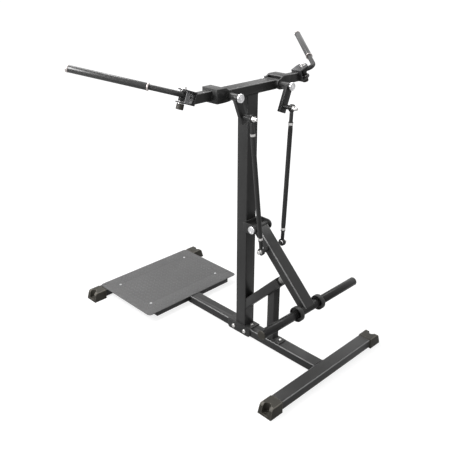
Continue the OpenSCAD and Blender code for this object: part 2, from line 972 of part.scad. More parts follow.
// One tube, turned down where it passes through the lever and the collars
module weight_horns() {
    seat_end = collar_x + collar_l;
    color("#2b2b2d")
        lever_frame()
            translate([0, 0, lever_len])
                difference() {
                    union() {
                        rod_x(-seat_end, seat_end, horn_seat_d);
                        rod_x(-horn_half - horn_shift, -seat_end, horn_d);
                        rod_x(seat_end, horn_half - horn_shift, horn_d);
                    }
                    rod_x(-2 * horn_half, 2 * horn_half, horn_d - 2 * horn_wall);
                }
}

module plate_collar() {
    translate([collar_x, 0, 0])
        rotate([0, 90, 0])
            difference() {
                cylinder(h = collar_l, d = collar_d);
                translate([0, 0, -over])
                    cylinder(h = collar_l + 2 * over, d = horn_seat_d);
                for (z = [-collar_l, collar_l])
                    translate([0, 0, z + sign(z) * (collar_web - collar_l) / 2])
                        cylinder(h = collar_l, d = collar_d - 2 * collar_rim);
            }
}

module horn_collars() {
    color("#2b2b2d")
        lever_frame()
            translate([0, 0, lever_len]) {
                plate_collar();
                mirror_x()
                    plate_collar();
            }
}

module horn_cap() {
    translate([horn_half, 0, 0])
        rotate([0, 90, 0]) {
            domed_cap(horn_d, horn_cap_t, horn_cap_edge);
            translate([0, 0, -horn_cap_plug])
                cylinder(h = horn_cap_plug + over, d = horn_d - 2 * horn_wall - 2 * fit_c);
        }
}

module horn_caps() {
    color("#3f3c36")
        lever_frame()
            translate([-horn_shift, 0, lever_len]) {
                horn_cap();
                mirror_x()
                    horn_cap();
            }
}

// Washer, nut and bolt end, standing on z = 0
module nut_stack(end) {
    cylinder(h = washer_t, d = pin_washer_d);
    translate([0, 0, washer_t])
        hex_head(pin_nut_w, pin_nut_t);
    cylinder(h = washer_t + pin_nut_t + end, d = pin_d);
}

module link_pin() {
    rod_x(tube_w / 2 - tube_wall, link_pin_x + ball_flat + side_c, pin_d);
    translate([link_pin_x + ball_flat + side_c, 0, 0])
        rotate([0, 90, 0])
            nut_stack(pin_end);
}

module link_pins() {
    color("#c9cacc")
        translate([0, low_y, low_z]) {
            link_pin();
            mirror_x()
                link_pin();
        }
}

// Link rods with their ball joints

module ball() {
    intersection() {
        sphere(d = ball_d);
        cylinder(h = ball_w, d = ball_d + over, center = true);
    }
}

module link_frame() {
    translate([link_pin_x, low_y, low_z])
        rotate([link_tilt, link_lean, 0])
            children();
}

module rod_eye(along) {
    rotate(along)
        difference() {
            cylinder(h = eye_w, d = eye_d, center = true);
            sphere(d = ball_d + 4 * run_c);
        }
}

module lower_ball() {
    translate([link_pin_x, low_y, low_z])
        rotate([0, 90, 0])
            difference() {
                ball();
                cylinder(h = 2 * ball_w, d = pin_d + 2 * run_c, center = true);
            }
}

module link_rod() {
    link_frame()
        difference() {
            union() {
                translate([0, 0, rod_low])
                    cylinder(h = rod_taper, d1 = rod_end_d, d2 = rod_d);
                translate([0, 0, rod_low + rod_taper])
                    cylinder(h = link_len - rod_low - rod_high - 2 * rod_taper, d = rod_d);
                translate([0, 0, link_len - rod_high - rod_taper])
                    cylinder(h = rod_taper, d1 = rod_d, d2 = rod_end_d);
            }
            for (z = [rod_low - over, link_len - rod_high - rod_thread - depth_c])
                translate([0, 0, z])
                    cylinder(h = rod_thread + depth_c + over, d = pin_d);
        }
}

// An eye with its neck, rim and shank; reach is from the eye's centre to the rod
module rod_end(along, reach) {
    root = eye_d / 2 - eye_root;
    nut_face = reach - jam_nut_t;
    rod_eye(along);
    translate([0, 0, root])
        cylinder(h = rod_neck_d - eye_w, d1 = eye_w, d2 = rod_neck_d);
    translate([0, 0, root + rod_neck_d - eye_w])
        cylinder(h = nut_face - root - rod_neck_d + eye_w, d = rod_neck_d);
    translate([0, 0, nut_face - rod_rim_t])
        cylinder(h = rod_rim_t, d = rod_rim_d);
    translate([0, 0, root])
        cylinder(h = reach + rod_thread - root, d = pin_d);
}

module rod_ends() {
    link_frame() {
        rod_end([0, 90, 0], rod_low);
        translate([0, 0, link_len])
            rotate([180, 0, 0])
                rod_end([90, 0, 0], rod_high);
    }
}

module jam_nuts() {
    link_frame()
        for (z = [rod_low - jam_nut_t, link_len - rod_high])
            translate([0, 0, z])
                hex_nut(jam_nut_w, jam_nut_t, pin_d);
}

module upper_joint() {
    translate([high_x, high_y, high_z])
        rotate([-90, 0, 0]) {
            ball();
            translate([0, 0, ball_flat])
                nut_stack(stud_end);
        }
}

module right_lower_ball() {
    color("#c9cacc")
        lower_ball();
}

module right_link_rod() {
    color("#2b2b2d")
        link_rod();
}

module right_rod_ends() {
    color("#242426")
        rod_ends();
}

module right_jam_nuts() {
    color("#c9cacc")
        jam_nuts();
}

module right_upper_joint() {
    color("#c9cacc")
        upper_joint();
}

module left_lower_ball() {
    color("#c9cacc")
        mirror_x()
            lower_ball();
}

module left_link_rod() {
    color("#2b2b2d")
        mirror_x()
            link_rod();
}

module left_rod_ends() {
    color("#242426")
        mirror_x()
            rod_ends();
}

module left_jam_nuts() {
    color("#c9cacc")
        mirror_x()
            jam_nuts();
}

module left_upper_joint() {
    color("#c9cacc")
        mirror_x()
            upper_joint();
}

// Arm hubs, axles and cranks

module axle_frame() {
    translate([axle_x, upright_y, axle_z])
        children();
}

module hub_plate(from, to) {
    half = hub_h / 2;
    along_y(from, to) {
        circle(hub_round);
        polygon([[0, -hub_round], [hub_in, hub_rise - half], [hub_out, hub_rise - half],
                 [hub_out, hub_rise + half], [hub_shoulder, hub_rise + half], [0, hub_round]]);
    }
}

// Lid over the housing, flush with the plates' top edges
module hub_lid() {
    box_top = hub_rise + hub_h / 2;
    lid_top = hub_round + (box_top - hub_round) * hub_lid_in / hub_shoulder;
    along_y(-hub_face, hub_face)
        polygon([[hub_lid_in, lid_top - hub_lid_t], [hub_shoulder, box_top - hub_lid_t],
                 [hub_in, box_top - hub_lid_t], [hub_in, box_top],
                 [hub_shoulder, box_top], [hub_lid_in, lid_top]]);
}

module hub() {
    axle_frame()
        difference() {
            intersection() {
                union() {
                    hub_plate(hub_face, hub_half);
                    hub_plate(-hub_half, -hub_face);
                    hub_lid();
                    translate([hub_in, -hub_face, hub_rise - hub_h / 2])
                        cube([hub_out - hub_in, 2 * hub_face, hub_h]);
                }
                linear_extrude(2 * hub_h, center = true)
                    rounded_rect(2 * hub_out, 2 * hub_half, hub_corner_r);
            }
            rod_y(-2 * housing_l, 2 * housing_l, axle_d);
        }
}

module clevis_frame() {
    translate([clevis_x, upright_y, clevis_z])
        rotate([0, -clevis_tilt, 0])
            children();
}

module arm_tube() {
    difference() {
        translate([axle_x + hub_out, upright_y, axle_z + arm_rise])
            rotate([90, 0, 90])
                linear_extrude(clevis_x - axle_x)
                    tube_section(arm_w, arm_h);
        clevis_frame()
            translate([-clevis_in, -2 * arm_w, -2 * arm_h])
                cube([clevis_x, 4 * arm_w, 4 * arm_h]);
    }
}

module axle() {
    axle_frame()
        rod_y(-hub_half, crank_tube_end, axle_d);
}

module axle_caps() {
    axle_frame() {
        translate([0, crank_tube_end, 0])
            rotate([-90, 0, 0])
                domed_cap(cap_d, cap_t, cap_edge);
        translate([0, -hub_half, 0])
            rotate([90, 0, 0])
                domed_cap(front_cap_d, front_cap_t, cap_edge);
    }
}

module crank() {
    axle_frame()
        difference() {
            union() {
                rod_y(hub_half, crank_tube_end, crank_tube_d);
                rotate([0, crank_angle, 0]) {
                    translate([-crank_w / 2, crank_y, -crank_l])
                        cube([crank_w, crank_t, crank_l]);
                    translate([0, 0, -crank_r])
                        rod_y(crank_y + crank_t, crank_ball_y - ball_flat - stud_c, boss_d);
                }
            }
            rod_y(-2 * housing_l, 2 * housing_l, axle_d);
        }
}

// Clevis brackets, handles and knobs

module clevis_plate() {
    linear_extrude(clevis_t) {
        translate([-clevis_in, -clevis_w / 2])
            square([clevis_in + clevis_out - clevis_w / 2, clevis_w]);
        translate([clevis_out - clevis_w / 2, 0])
            circle(d = clevis_w);
    }
}

module clevis() {
    clevis_frame()
        difference() {
            union() {
                translate([0, 0, clevis_half - clevis_t])
                    clevis_plate();
                translate([0, 0, -clevis_half])
                    clevis_plate();
                translate([-clevis_in, -clevis_w / 2, -clevis_half])
                    cube([clevis_t, clevis_w, clevis_h]);
            }
            cylinder(h = 2 * clevis_h, d = pivot_d, center = true);
            translate([-clevis_in - over, 0, web_hole_up])
                rotate([0, 90, 0])
                    cylinder(h = clevis_t + 2 * over, d = web_hole, $fn = 4);
        }
}

module ring(outer, inner, h) {
    difference() {
        cylinder(h = h, d = outer);
        translate([0, 0, -over])
            cylinder(h = h + 2 * over, d = inner);
    }
}

module clevis_bolts() {
    clevis_frame() {
        translate([0, 0, -clevis_half - knob_bolt_l])
            cylinder(h = clevis_h + knob_bolt_l, d = pivot_d);
        translate([0, 0, clevis_half]) {
            cylinder(h = washer_t, d = washer_d);
            translate([0, 0, washer_t])
                hex_head(pin_nut_w, pivot_head_t);
        }
        for (z = [clevis_half - clevis_t - washer_t, clevis_t - clevis_half])
            translate([0, 0, z])
                ring(sleeve_d, pivot_d, washer_t);
        translate([0, 0, -clevis_half - knob_ring_t])
            ring(sleeve_d, pivot_d, knob_ring_t);
        for (s = [-1, 1])
            translate([clevis_t - clevis_in, s * web_bolt_y, clevis_half - clevis_t - web_bolt_drop])
                rotate([0, 90, 0])
                    domed_cap(web_bolt_d, web_bolt_t, web_bolt_t / 2, $fn = 32);
    }
}

module handle_frame() {
    clevis_frame()
        rotate([0, 0, handle_swing])
            translate([0, 0, handle_rise])
                children();
}

// The handle's own frame has X along the grip's offset and -Y along the grip
module grip_line(from, to) {
    rotate([grip_droop, 0, 0])
        translate([grip_offset, -from, 0])
            rotate([90, 0, 0])
                linear_extrude(to - from)
                    children();
}

module handle_tube() {
    difference() {
        union() {
            clevis_frame()
                cylinder(h = 2 * sleeve_half, d = sleeve_d, center = true);
            handle_frame() {
                rotate([grip_droop, 0, 0]) {
                    rod_x(0, grip_offset - bend_r, handle_d);
                    translate([grip_offset - bend_r, -bend_r, 0])
                        rotate_extrude(angle = 90)
                            translate([bend_r, 0])
                                circle(d = handle_d);
                }
                grip_line(bend_r, grip_end)
                    circle(d = handle_d);
            }
        }
        clevis_frame()
            cylinder(h = 2 * clevis_h, d = pivot_d + 2 * run_c, center = true);
    }
}

module grip() {
    handle_frame()
        grip_line(grip_start + grip_collar_l, grip_end)
            difference() {
                circle(d = grip_d);
                circle(d = handle_d);
            }
}

module grip_trim() {
    handle_frame() {
        grip_line(grip_start, grip_start + grip_collar_l)
            difference() {
                circle(d = grip_d + 2 * grip_flange);
                circle(d = handle_d);
            }
        rotate([grip_droop, 0, 0])
            translate([grip_offset, -grip_end, 0])
                rotate([90, 0, 0])
                    domed_cap(grip_d + 2 * grip_cap_lip, grip_cap_l, grip_cap_edge);
    }
}

module knob() {
    clevis_frame()
        translate([0, 0, -clevis_half - knob_ring_t - side_c])
            rotate([180, 0, 0])
                difference() {
                    domed_cap(knob_d, knob_h, knob_edge);
                    translate([0, 0, -over])
                        cylinder(h = knob_bolt_l - knob_ring_t + depth_c + over, d = pivot_d + 2 * run_c);
                }
}

module right_hub() {
    color("#2b2b2d")
        hub();
}

module right_arm_tube() {
    color("#2b2b2d")
        arm_tube();
}

module right_axle() {
    color("#b9babc")
        axle();
}

module right_axle_caps() {
    color("#d6d7d9")
        axle_caps();
}

module right_crank() {
    color("#2b2b2d")
        crank();
}

module right_clevis() {
    color("#4a4a4c")
        clevis();
}

module right_clevis_bolts() {
    color("#c9cacc")
        clevis_bolts();
}

module right_handle_tube() {
    color("#2b2b2d")
        handle_tube();
}

module right_grip() {
    color("#46474a")
        grip();
}

module right_grip_trim() {
    color("#d6d7d9")
        grip_trim();
}

module right_knob() {
    color("#3f3c36")
        knob();
}

module left_hub() {
    color("#2b2b2d")
        mirror_x()
            hub();
}

module left_arm_tube() {
    color("#2b2b2d")
        mirror_x()
            arm_tube();
}

module left_axle() {
    color("#b9babc")
        mirror_x()
            axle();
}

module left_axle_caps() {
    color("#d6d7d9")
        mirror_x()
            axle_caps();
}

module left_crank() {
    color("#2b2b2d")
        mirror_x()
            crank();
}

module left_clevis() {
    color("#4a4a4c")
        mirror_x()
            clevis();
}

module left_clevis_bolts() {
    color("#c9cacc")
        mirror_x()
            clevis_bolts();
}

module left_handle_tube() {
    color("#2b2b2d")
        mirror_x()
            handle_tube();
}

module left_grip() {
    color("#46474a")
        mirror_x()
            grip();
}

module left_grip_trim() {
    color("#d6d7d9")
        mirror_x()
            grip_trim();
}

module left_knob() {
    color("#3f3c36")
        mirror_x()
            knob();
}

front_cross_tube();
rear_cross_tube();
front_feet();
rear_feet();
front_rail();
rear_rail();
platform_plate();
rear_bearers();
side_bearers();
platform_screws();
base_saddle();
saddle_bolts();
upright();
crossbar();
pivot_housings();
stop_strut();
strut_post();
post_bolts();
stop_bumper();
lever_bracket();
lever_axle();
lever_pivot_tube();
lever_arm();
weight_horns();
horn_collars();
horn_caps();
link_pins();
right_lower_ball();
right_link_rod();
right_rod_ends();
right_jam_nuts();
right_upper_joint();
left_lower_ball();
left_link_rod();
left_rod_ends();
left_jam_nuts();
left_upper_joint();
right_hub();
right_arm_tube();
right_axle();
right_axle_caps();
right_crank();
right_clevis();
right_clevis_bolts();
right_handle_tube();
right_grip();
right_grip_trim();
right_knob();
left_hub();
left_arm_tube();
left_axle();
left_axle_caps();
left_crank();
left_clevis();
left_clevis_bolts();
left_handle_tube();
left_grip();
left_grip_trim();
left_knob();
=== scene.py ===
"""Looks of a plate-loaded standing chest fly machine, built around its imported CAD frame.

Lengths are in metres, apart from the constants under "Places and sizes", which are in
millimetres as in the part's source. X runs across the machine, the platform is on the -Y side
and the weight lever on the +Y side. "right" is the +X side, as a user sees it who faces the
upright.
"""

import json
import math

import bmesh
import bpy
from bpy.props import FloatProperty, FloatVectorProperty, PointerProperty
from bpy.types import Operator, Panel, PropertyGroup
from mathutils import Matrix, Vector


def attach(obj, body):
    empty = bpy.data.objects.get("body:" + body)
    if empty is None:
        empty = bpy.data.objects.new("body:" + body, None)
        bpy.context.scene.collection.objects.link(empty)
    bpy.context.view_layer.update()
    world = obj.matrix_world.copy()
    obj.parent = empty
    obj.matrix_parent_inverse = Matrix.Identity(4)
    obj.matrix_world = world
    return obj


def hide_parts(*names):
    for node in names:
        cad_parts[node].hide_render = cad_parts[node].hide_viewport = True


bl_info = {
    "name": "Standing Chest Fly Machine",
    "version": (1, 0, 0),
    "blender": (4, 5, 0),
    "location": "View3D > Sidebar > Fly Machine",
    "description": "Dresses the packed frame of a plate-loaded standing chest fly machine",
    "category": "Object",
}

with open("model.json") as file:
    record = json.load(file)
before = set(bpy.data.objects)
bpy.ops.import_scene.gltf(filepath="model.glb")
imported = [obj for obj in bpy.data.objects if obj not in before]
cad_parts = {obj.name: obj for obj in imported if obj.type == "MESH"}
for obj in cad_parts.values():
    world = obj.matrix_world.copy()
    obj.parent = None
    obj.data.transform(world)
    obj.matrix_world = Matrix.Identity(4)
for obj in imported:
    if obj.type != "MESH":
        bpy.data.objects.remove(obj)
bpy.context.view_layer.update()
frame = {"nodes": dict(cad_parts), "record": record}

SIDES = (("right", 1), ("left", -1))
MM = 0.001

# Places and sizes of the frame that the added details follow, in millimetres and degrees

# Base, upright and crossbar
TUBE_W, TUBE_H, FLOOR_GAP = 75.0, 50.0, 9.0
TUBE_TOP = FLOOR_GAP + TUBE_H
CROSS_INNER = 723.5
UPRIGHT_Y = 171.0
SADDLE_TOP = 64.0
AXLE_X, AXLE_Z = 187.0, 1453.0
HOUSING_R, CROSSBAR_IN = 25.0, 15.0

# Stop strut, which rises at 45 degrees, and its post
STRUT_Z, STRUT_LOW, STRUT_HIGH = 180.0, 182.1, 252.9
POST_Y, POST_W, POST_PLATE_T, POST_CORNER = 390.5, 50.0, 6.0, 4.0

# Lever, which slopes down at 45 degrees, and its link pins
LEVER_Y, LEVER_Z, LEVER_TUBE_R, LEVER_AXLE_R = 275.0, 718.5, 19.0, 12.0
BRACKET_HALF, BRACKET_H = 65.0, 55.0
LINK_PIN_X, PIN_R, BOSS_R = 84.0, 8.0, 12.0
LINK_PIN_DROP = 127.0 * math.sqrt(0.5)
PIN_NUT_FACE, PIN_END = 22.0, 5.0

# Cranks and the ball studs against them
CRANK_ANGLE, CRANK_R, CRANK_T, CRANK_BACK = 21.6, 105.0, 20.0, 118.0
CRANK_TUBE_R, CRANK_TUBE_END = 17.5, 128.5
BALL_X = AXLE_X - CRANK_R * math.sin(math.radians(CRANK_ANGLE))
BALL_Y = UPRIGHT_Y + 167.5
BALL_Z = AXLE_Z - CRANK_R * math.cos(math.radians(CRANK_ANGLE))
BALL_FACE, STUD_END = 21.5, 14.0

# Arms, clevis brackets and handles. The web screws lie nearer the middle than WEB_SCREW_X.
HUB_HALF, HUB_OUT, ARM_W, ARM_H, ARM_RISE = 54.4, 80.0, 37.0, 49.0, 7.0
CLEVIS_X, CLEVIS_Z, CLEVIS_TILT, CLEVIS_WEB_X = 435.0, 1483.0, 20.0, 381.7
WEB_SCREW_X = 390.0
SLEEVE_R, HANDLE_SWING, HANDLE_RISE, HANDLE_R = 16.0, 40.5, 6.0, 12.7
CAP_R, CAP_T, FRONT_CAP_R, FRONT_CAP_T = 22.0, 8.0, 29.0, 20.0

# Platform and its screws
PLATE_W, PLATE_L, PLATE_FRONT, PLATE_TOP = 742.0, 524.0, -798.5, 63.0
SCREW_X, SCREW_FRONT, SCREW_REAR, SCREW_ROOM = 276.0, -703.5, -379.5, 16.0

# Details: steps around a full circle, a tube's corner and a housing's weld; how far the handle's
# bead sinks into its sleeve; how deep a thread lies in its bolt, how far it ends before the
# bolt's faces, and its ridge as a share of its pitch
RING_STEPS, CORNER_STEPS, ARC_STEPS = 48, 4, 16
BEAD_SINK, THREAD_INSET, THREAD_MARGIN, THREAD_RIDGE = 0.5, 0.1, 1.0, 0.32

NODE_BODY = {
    node: body
    for body, nodes in frame["record"]["behaviour"]["bodies"].items()
    for node in nodes
}


def colour_prop(name, description, default):
    """Property for a colour."""
    return FloatVectorProperty(
        name=name, description=description, default=default, subtype="COLOR", size=3, min=0,
        max=1,
    )


def length_prop(name, description, default):
    """Property for a length in metres."""
    return FloatProperty(
        name=name, description=description, default=default, unit="LENGTH", min=0,
    )


class FlyColours(PropertyGroup):
    """Colours of the machine's finishes"""

    coat: colour_prop("Coat", "Powder coat of the frame", (0.027, 0.027, 0.027))
    clevis: colour_prop("Clevis", "Smooth coat of the clevis brackets", (0.034, 0.034, 0.036))
    plate: colour_prop("Plate", "Textured coat of the standing platform", (0.112, 0.112, 0.113))
    zinc: colour_prop("Zinc", "Plating of bolts and nuts", (0.78, 0.77, 0.76))
    chrome: colour_prop("Chrome", "Bright caps on the axles", (0.86, 0.86, 0.87))
    steel: colour_prop("Steel", "Ground steel of the axles", (0.56, 0.56, 0.57))
    trim: colour_prop("Trim", "Turned collars and ends of the grips", (0.60, 0.55, 0.54))
    plastic: colour_prop("Plastic", "Moulded feet and knobs", (0.042, 0.039, 0.032))
    # The plastic edge colour is a painted highlight on the rounded edges of the feet and caps.
    plastic_edge_highlight: colour_prop("Plastic edge", "Rubbed edges of the feet", (0.19, 0.18, 0.16))
    gloss: colour_prop("Gloss", "Smoother coat of the weight horns", (0.015, 0.015, 0.015))
    rubber: colour_prop("Rubber", "Rubber of the grips", (0.026, 0.026, 0.026))
    bumper: colour_prop("Bumper", "Rubber of the stop bumper", (0.26, 0.26, 0.25))


class FlySizes(PropertyGroup):
    """Sizes of the details that the scene adds"""

    edge: length_prop("Edge", "Rounding of the sharp steel edges", 0.0012)
    moulded_edge: length_prop("Moulded edge", "Rounding of the moulded edges", 0.0022)
    nut_edge: length_prop("Nut edge", "Rounding of the nuts' and bolt heads' edges", 0.0007)
    bead: length_prop("Weld bead", "Radius of a weld bead", 0.0024)
    bead_step: length_prop("Weld step", "Distance between the ripples of a weld", 0.0027)
    tread_pitch: length_prop("Tread pitch", "Distance between the raised lozenges", 0.027)
    tread_length: length_prop("Tread length", "Length of a raised lozenge", 0.022)
    tread_width: length_prop("Tread width", "Width of a raised lozenge", 0.007)
    tread_border: length_prop("Tread border", "Plain width left at the plate's edges", 0.034)
    tread_height: length_prop("Tread height", "Height of a raised lozenge", 0.0012)
    thread_pitch: length_prop("Thread pitch", "Pitch of the threads on the bolts' ends", 0.002)


def colours():
    return bpy.context.scene.fly_colours


def sizes():
    return bpy.context.scene.fly_sizes


# Node trees


def add_node(tree, kind, x, y, **values):
    """Node at a place in a tree's layout, with its own properties set."""
    node = tree.nodes.new(kind)
    node.location = (x, y)
    for key, value in values.items():
        setattr(node, key, value)
    return node


def wire(tree, node, **sources):
    """Links sockets to a node's inputs, or sets values on them, and returns the node.

    A keyword is an input's label with underscores for spaces, or i0, i1 for its place.
    """
    for label, value in sources.items():
        by_place = label[0] == "i" and label[1:].isdigit()
        socket = node.inputs[int(label[1:]) if by_place else label.replace("_", " ")]
        if isinstance(value, bpy.types.NodeSocket):
            tree.links.new(value, socket)
        else:
            socket.default_value = value
    return node


def maths(tree, operation, first, second, x, y):
    """Result of a calculation on two sockets or numbers."""
    node = add_node(tree, "ShaderNodeMath", x, y, operation=operation)
    return wire(tree, node, i0=first, i1=second).outputs[0]


def ramp(tree, source, x, y, **limits):
    """Result of a source spread over limits, such as From_Min=0.3. The others stay 0 and 1."""
    node = add_node(tree, "ShaderNodeMapRange", x, y)
    return wire(tree, node, Value=source, **limits).outputs["Result"]


def add_sockets(tree, inputs):
    """Adds named inputs to a tree. inputs are (name, socket type, default) rows."""
    for label, kind, default in inputs:
        socket = tree.interface.new_socket(label, in_out="INPUT", socket_type=kind)
        if default is not None:
            socket.default_value = default


# Materials


def new_group(name, inputs, outputs):
    """Shader group that takes coordinates and named inputs, and gives named numbers."""
    tree = bpy.data.node_groups.new(name, "ShaderNodeTree")
    add_sockets(tree, [("Vector", "NodeSocketVector", None), *inputs])
    for label in outputs:
        tree.interface.new_socket(label, in_out="OUTPUT", socket_type="NodeSocketFloat")
    source = add_node(tree, "NodeGroupInput", -900, 0)
    return tree, source, add_node(tree, "NodeGroupOutput", 600, 0)


def noise_in(tree, source, scale, x, y, **values):
    """Noise over a group's own coordinates, at the scale of one of its inputs."""
    noise = wire(tree, add_node(tree, "ShaderNodeTexNoise", x, y),
                 Vector=source.outputs["Vector"], Scale=source.outputs[scale], **values)
    return noise.outputs["Fac"]


def grain_group():
    """Fine grain over a surface: its height, and a slow mottle of its gloss."""
    tree, source, target = new_group(
        "coat_grain",
        [("Fine Scale", "NodeSocketFloat", 700.0), ("Slow Scale", "NodeSocketFloat", 9.0)],
        ["Height", "Mottle"],
    )
    wire(tree, target,
         Height=noise_in(tree, source, "Fine Scale", -500, 150, Detail=2.0),
         Mottle=noise_in(tree, source, "Slow Scale", -500, -150, Detail=4.0))
    return tree


def edge_group():
    """Mask of the outer edges, broken by a noise: wear, handled corners and a painted highlight.
    """
    tree, source, target = new_group(
        "edge_wear_and_highlight",
        [("Radius", "NodeSocketFloat", 0.003), ("Amount", "NodeSocketFloat", 0.5),
         ("Noise Scale", "NodeSocketFloat", 60.0)],
        ["Mask"],
    )
    rounded = wire(tree, add_node(tree, "ShaderNodeBevel", -650, 200, samples=4),
                   Radius=source.outputs["Radius"])
    face = add_node(tree, "ShaderNodeNewGeometry", -650, 0)
    same = wire(tree, add_node(tree, "ShaderNodeVectorMath", -450, 150,
                               operation="DOT_PRODUCT"),
                i0=rounded.outputs["Normal"], i1=face.outputs["Normal"])
    edge = ramp(tree, same.outputs["Value"], -250, 150, From_Min=0.995, From_Max=0.88)
    noise = noise_in(tree, source, "Noise Scale", -450, -150)
    broken = ramp(tree, noise, -250, -150, From_Min=0.35, From_Max=0.7)
    both = maths(tree, "MULTIPLY", edge, broken, -50, 50)
    wire(tree, target, Mask=maths(tree, "MULTIPLY", both, source.outputs["Amount"], 150, 50))
    return tree


def dust_group():
    """Mask of the dust that settles on faces that look up."""
    tree, source, target = new_group(
        "settled_dust",
        [("Amount", "NodeSocketFloat", 0.2), ("Scale", "NodeSocketFloat", 14.0)],
        ["Mask"],
    )
    face = add_node(tree, "ShaderNodeNewGeometry", -650, 200)
    split = wire(tree, add_node(tree, "ShaderNodeSeparateXYZ", -450, 200),
                 Vector=face.outputs["Normal"])
    upward = ramp(tree, split.outputs["Z"], -250, 200, From_Min=0.3)
    noise = noise_in(tree, source, "Scale", -450, -100, Detail=5.0)
    both = maths(tree, "MULTIPLY", upward, noise, -50, 100)
    wire(tree, target, Mask=maths(tree, "MULTIPLY", both, source.outputs["Amount"], 150, 100))
    return tree


GROUP_MAKERS = {"coat_grain": grain_group, "edge_wear_and_highlight": edge_group, "settled_dust": dust_group}


def place_group(tree, name, x, y, vector, **values):
    """Puts a shared group into a material, with this material's own values."""
    group = bpy.data.node_groups.get(name) or GROUP_MAKERS[name]()
    node = add_node(tree, "ShaderNodeGroup", x, y, node_tree=group)
    return wire(tree, node, Vector=vector, **values)


def mix_colour(tree, x, y, mask, first, second):
    """Mixes two colours, or sockets, by a mask socket."""
    mix = add_node(tree, "ShaderNodeMix", x, y, data_type="RGBA")
    tree.links.new(mask, mix.inputs["Factor"])
    for socket, value in ((mix.inputs[6], first), (mix.inputs[7], second)):
        if isinstance(value, bpy.types.NodeSocket):
            tree.links.new(value, socket)
        else:
            socket.default_value = (*value, 1.0)
    return mix.outputs[2]


def scaled(colour, factor):
    return tuple(min(1.0, part * factor) for part in colour)


# The machine's finishes by name. The frame's import brings plain materials named like the
# slots, so a finish is looked up here and not among the file's materials.
FINISHES = {}

DUST_COLOUR = (0.30, 0.29, 0.27)
# Tint of the painted highlight on the upper corners of the tubes and feet
PAINTED_HIGHLIGHT_COLOUR = (0.24, 0.24, 0.24)
# Gain of the lighter edges, which are partly wear and partly a painted highlight
WORN_AND_LIT_GAIN = 2.6
SMOOTHEST, ROUGHEST = 0.02, 1.0


def surface(name, colour, roughness, metallic=0.0, fine=700.0, bump=0.0003, wear_and_highlight=0.4, worn_and_lit=None,
            dust=0.15, mottle=0.10, spread=0.25, specular=0.5, corner_highlight=0.0, reach=0.003,
            highlight_tint=PAINTED_HIGHLIGHT_COLOUR):
    """Principled material with grain, edge wear, settled dust and a slow change of gloss.

    The lighter worn edges are partly a painted highlight. The corner amount sets how much the
    faces marked as upper corners take the tint of a painted highlight.
    """
    material = bpy.data.materials.new(name + "_finish")
    FINISHES[name] = material
    material.use_nodes = True
    tree = material.node_tree
    shader = tree.nodes["Principled BSDF"]
    place = add_node(tree, "ShaderNodeTexCoord", -1300, 0).outputs["Object"]
    grain = place_group(tree, "coat_grain", -1050, 200, place, Fine_Scale=fine)
    edges = place_group(tree, "edge_wear_and_highlight", -1050, -50, place, Amount=wear_and_highlight, Radius=reach)
    dusty = place_group(tree, "settled_dust", -1050, -300, place, Amount=dust)
    tone = mix_colour(tree, -750, 300, grain.outputs["Mottle"],
                      scaled(colour, 1 - spread), scaled(colour, 1 + spread))
    tone = mix_colour(tree, -550, 200, dusty.outputs["Mask"], tone, DUST_COLOUR)
    # Lighter edges: partly wear, partly a painted highlight
    tone = mix_colour(tree, -350, 100, edges.outputs["Mask"], tone,
                      worn_and_lit or scaled(colour, WORN_AND_LIT_GAIN))
    # Painted highlight: faces marked as upper corners take a lighter tint
    if corner_highlight:
        corner = add_node(tree, "ShaderNodeAttribute", -750, -100, attribute_name="corner")
        amount = maths(tree, "MULTIPLY", corner.outputs["Fac"], corner_highlight, -550, -100)
        tone = mix_colour(tree, -150, 100, amount, tone, highlight_tint)
    relief = wire(tree, add_node(tree, "ShaderNodeBump", -350, -400),
                  Distance=bump, Strength=1.0, Height=grain.outputs["Height"])
    wire(tree, shader, Base_Color=tone, Metallic=metallic, Specular_IOR_Level=specular,
         Roughness=ramp(tree, grain.outputs["Mottle"], -350, -150,
                        To_Min=max(SMOOTHEST, roughness - mottle),
                        To_Max=min(ROUGHEST, roughness + mottle)),
         Normal=relief.outputs["Normal"])


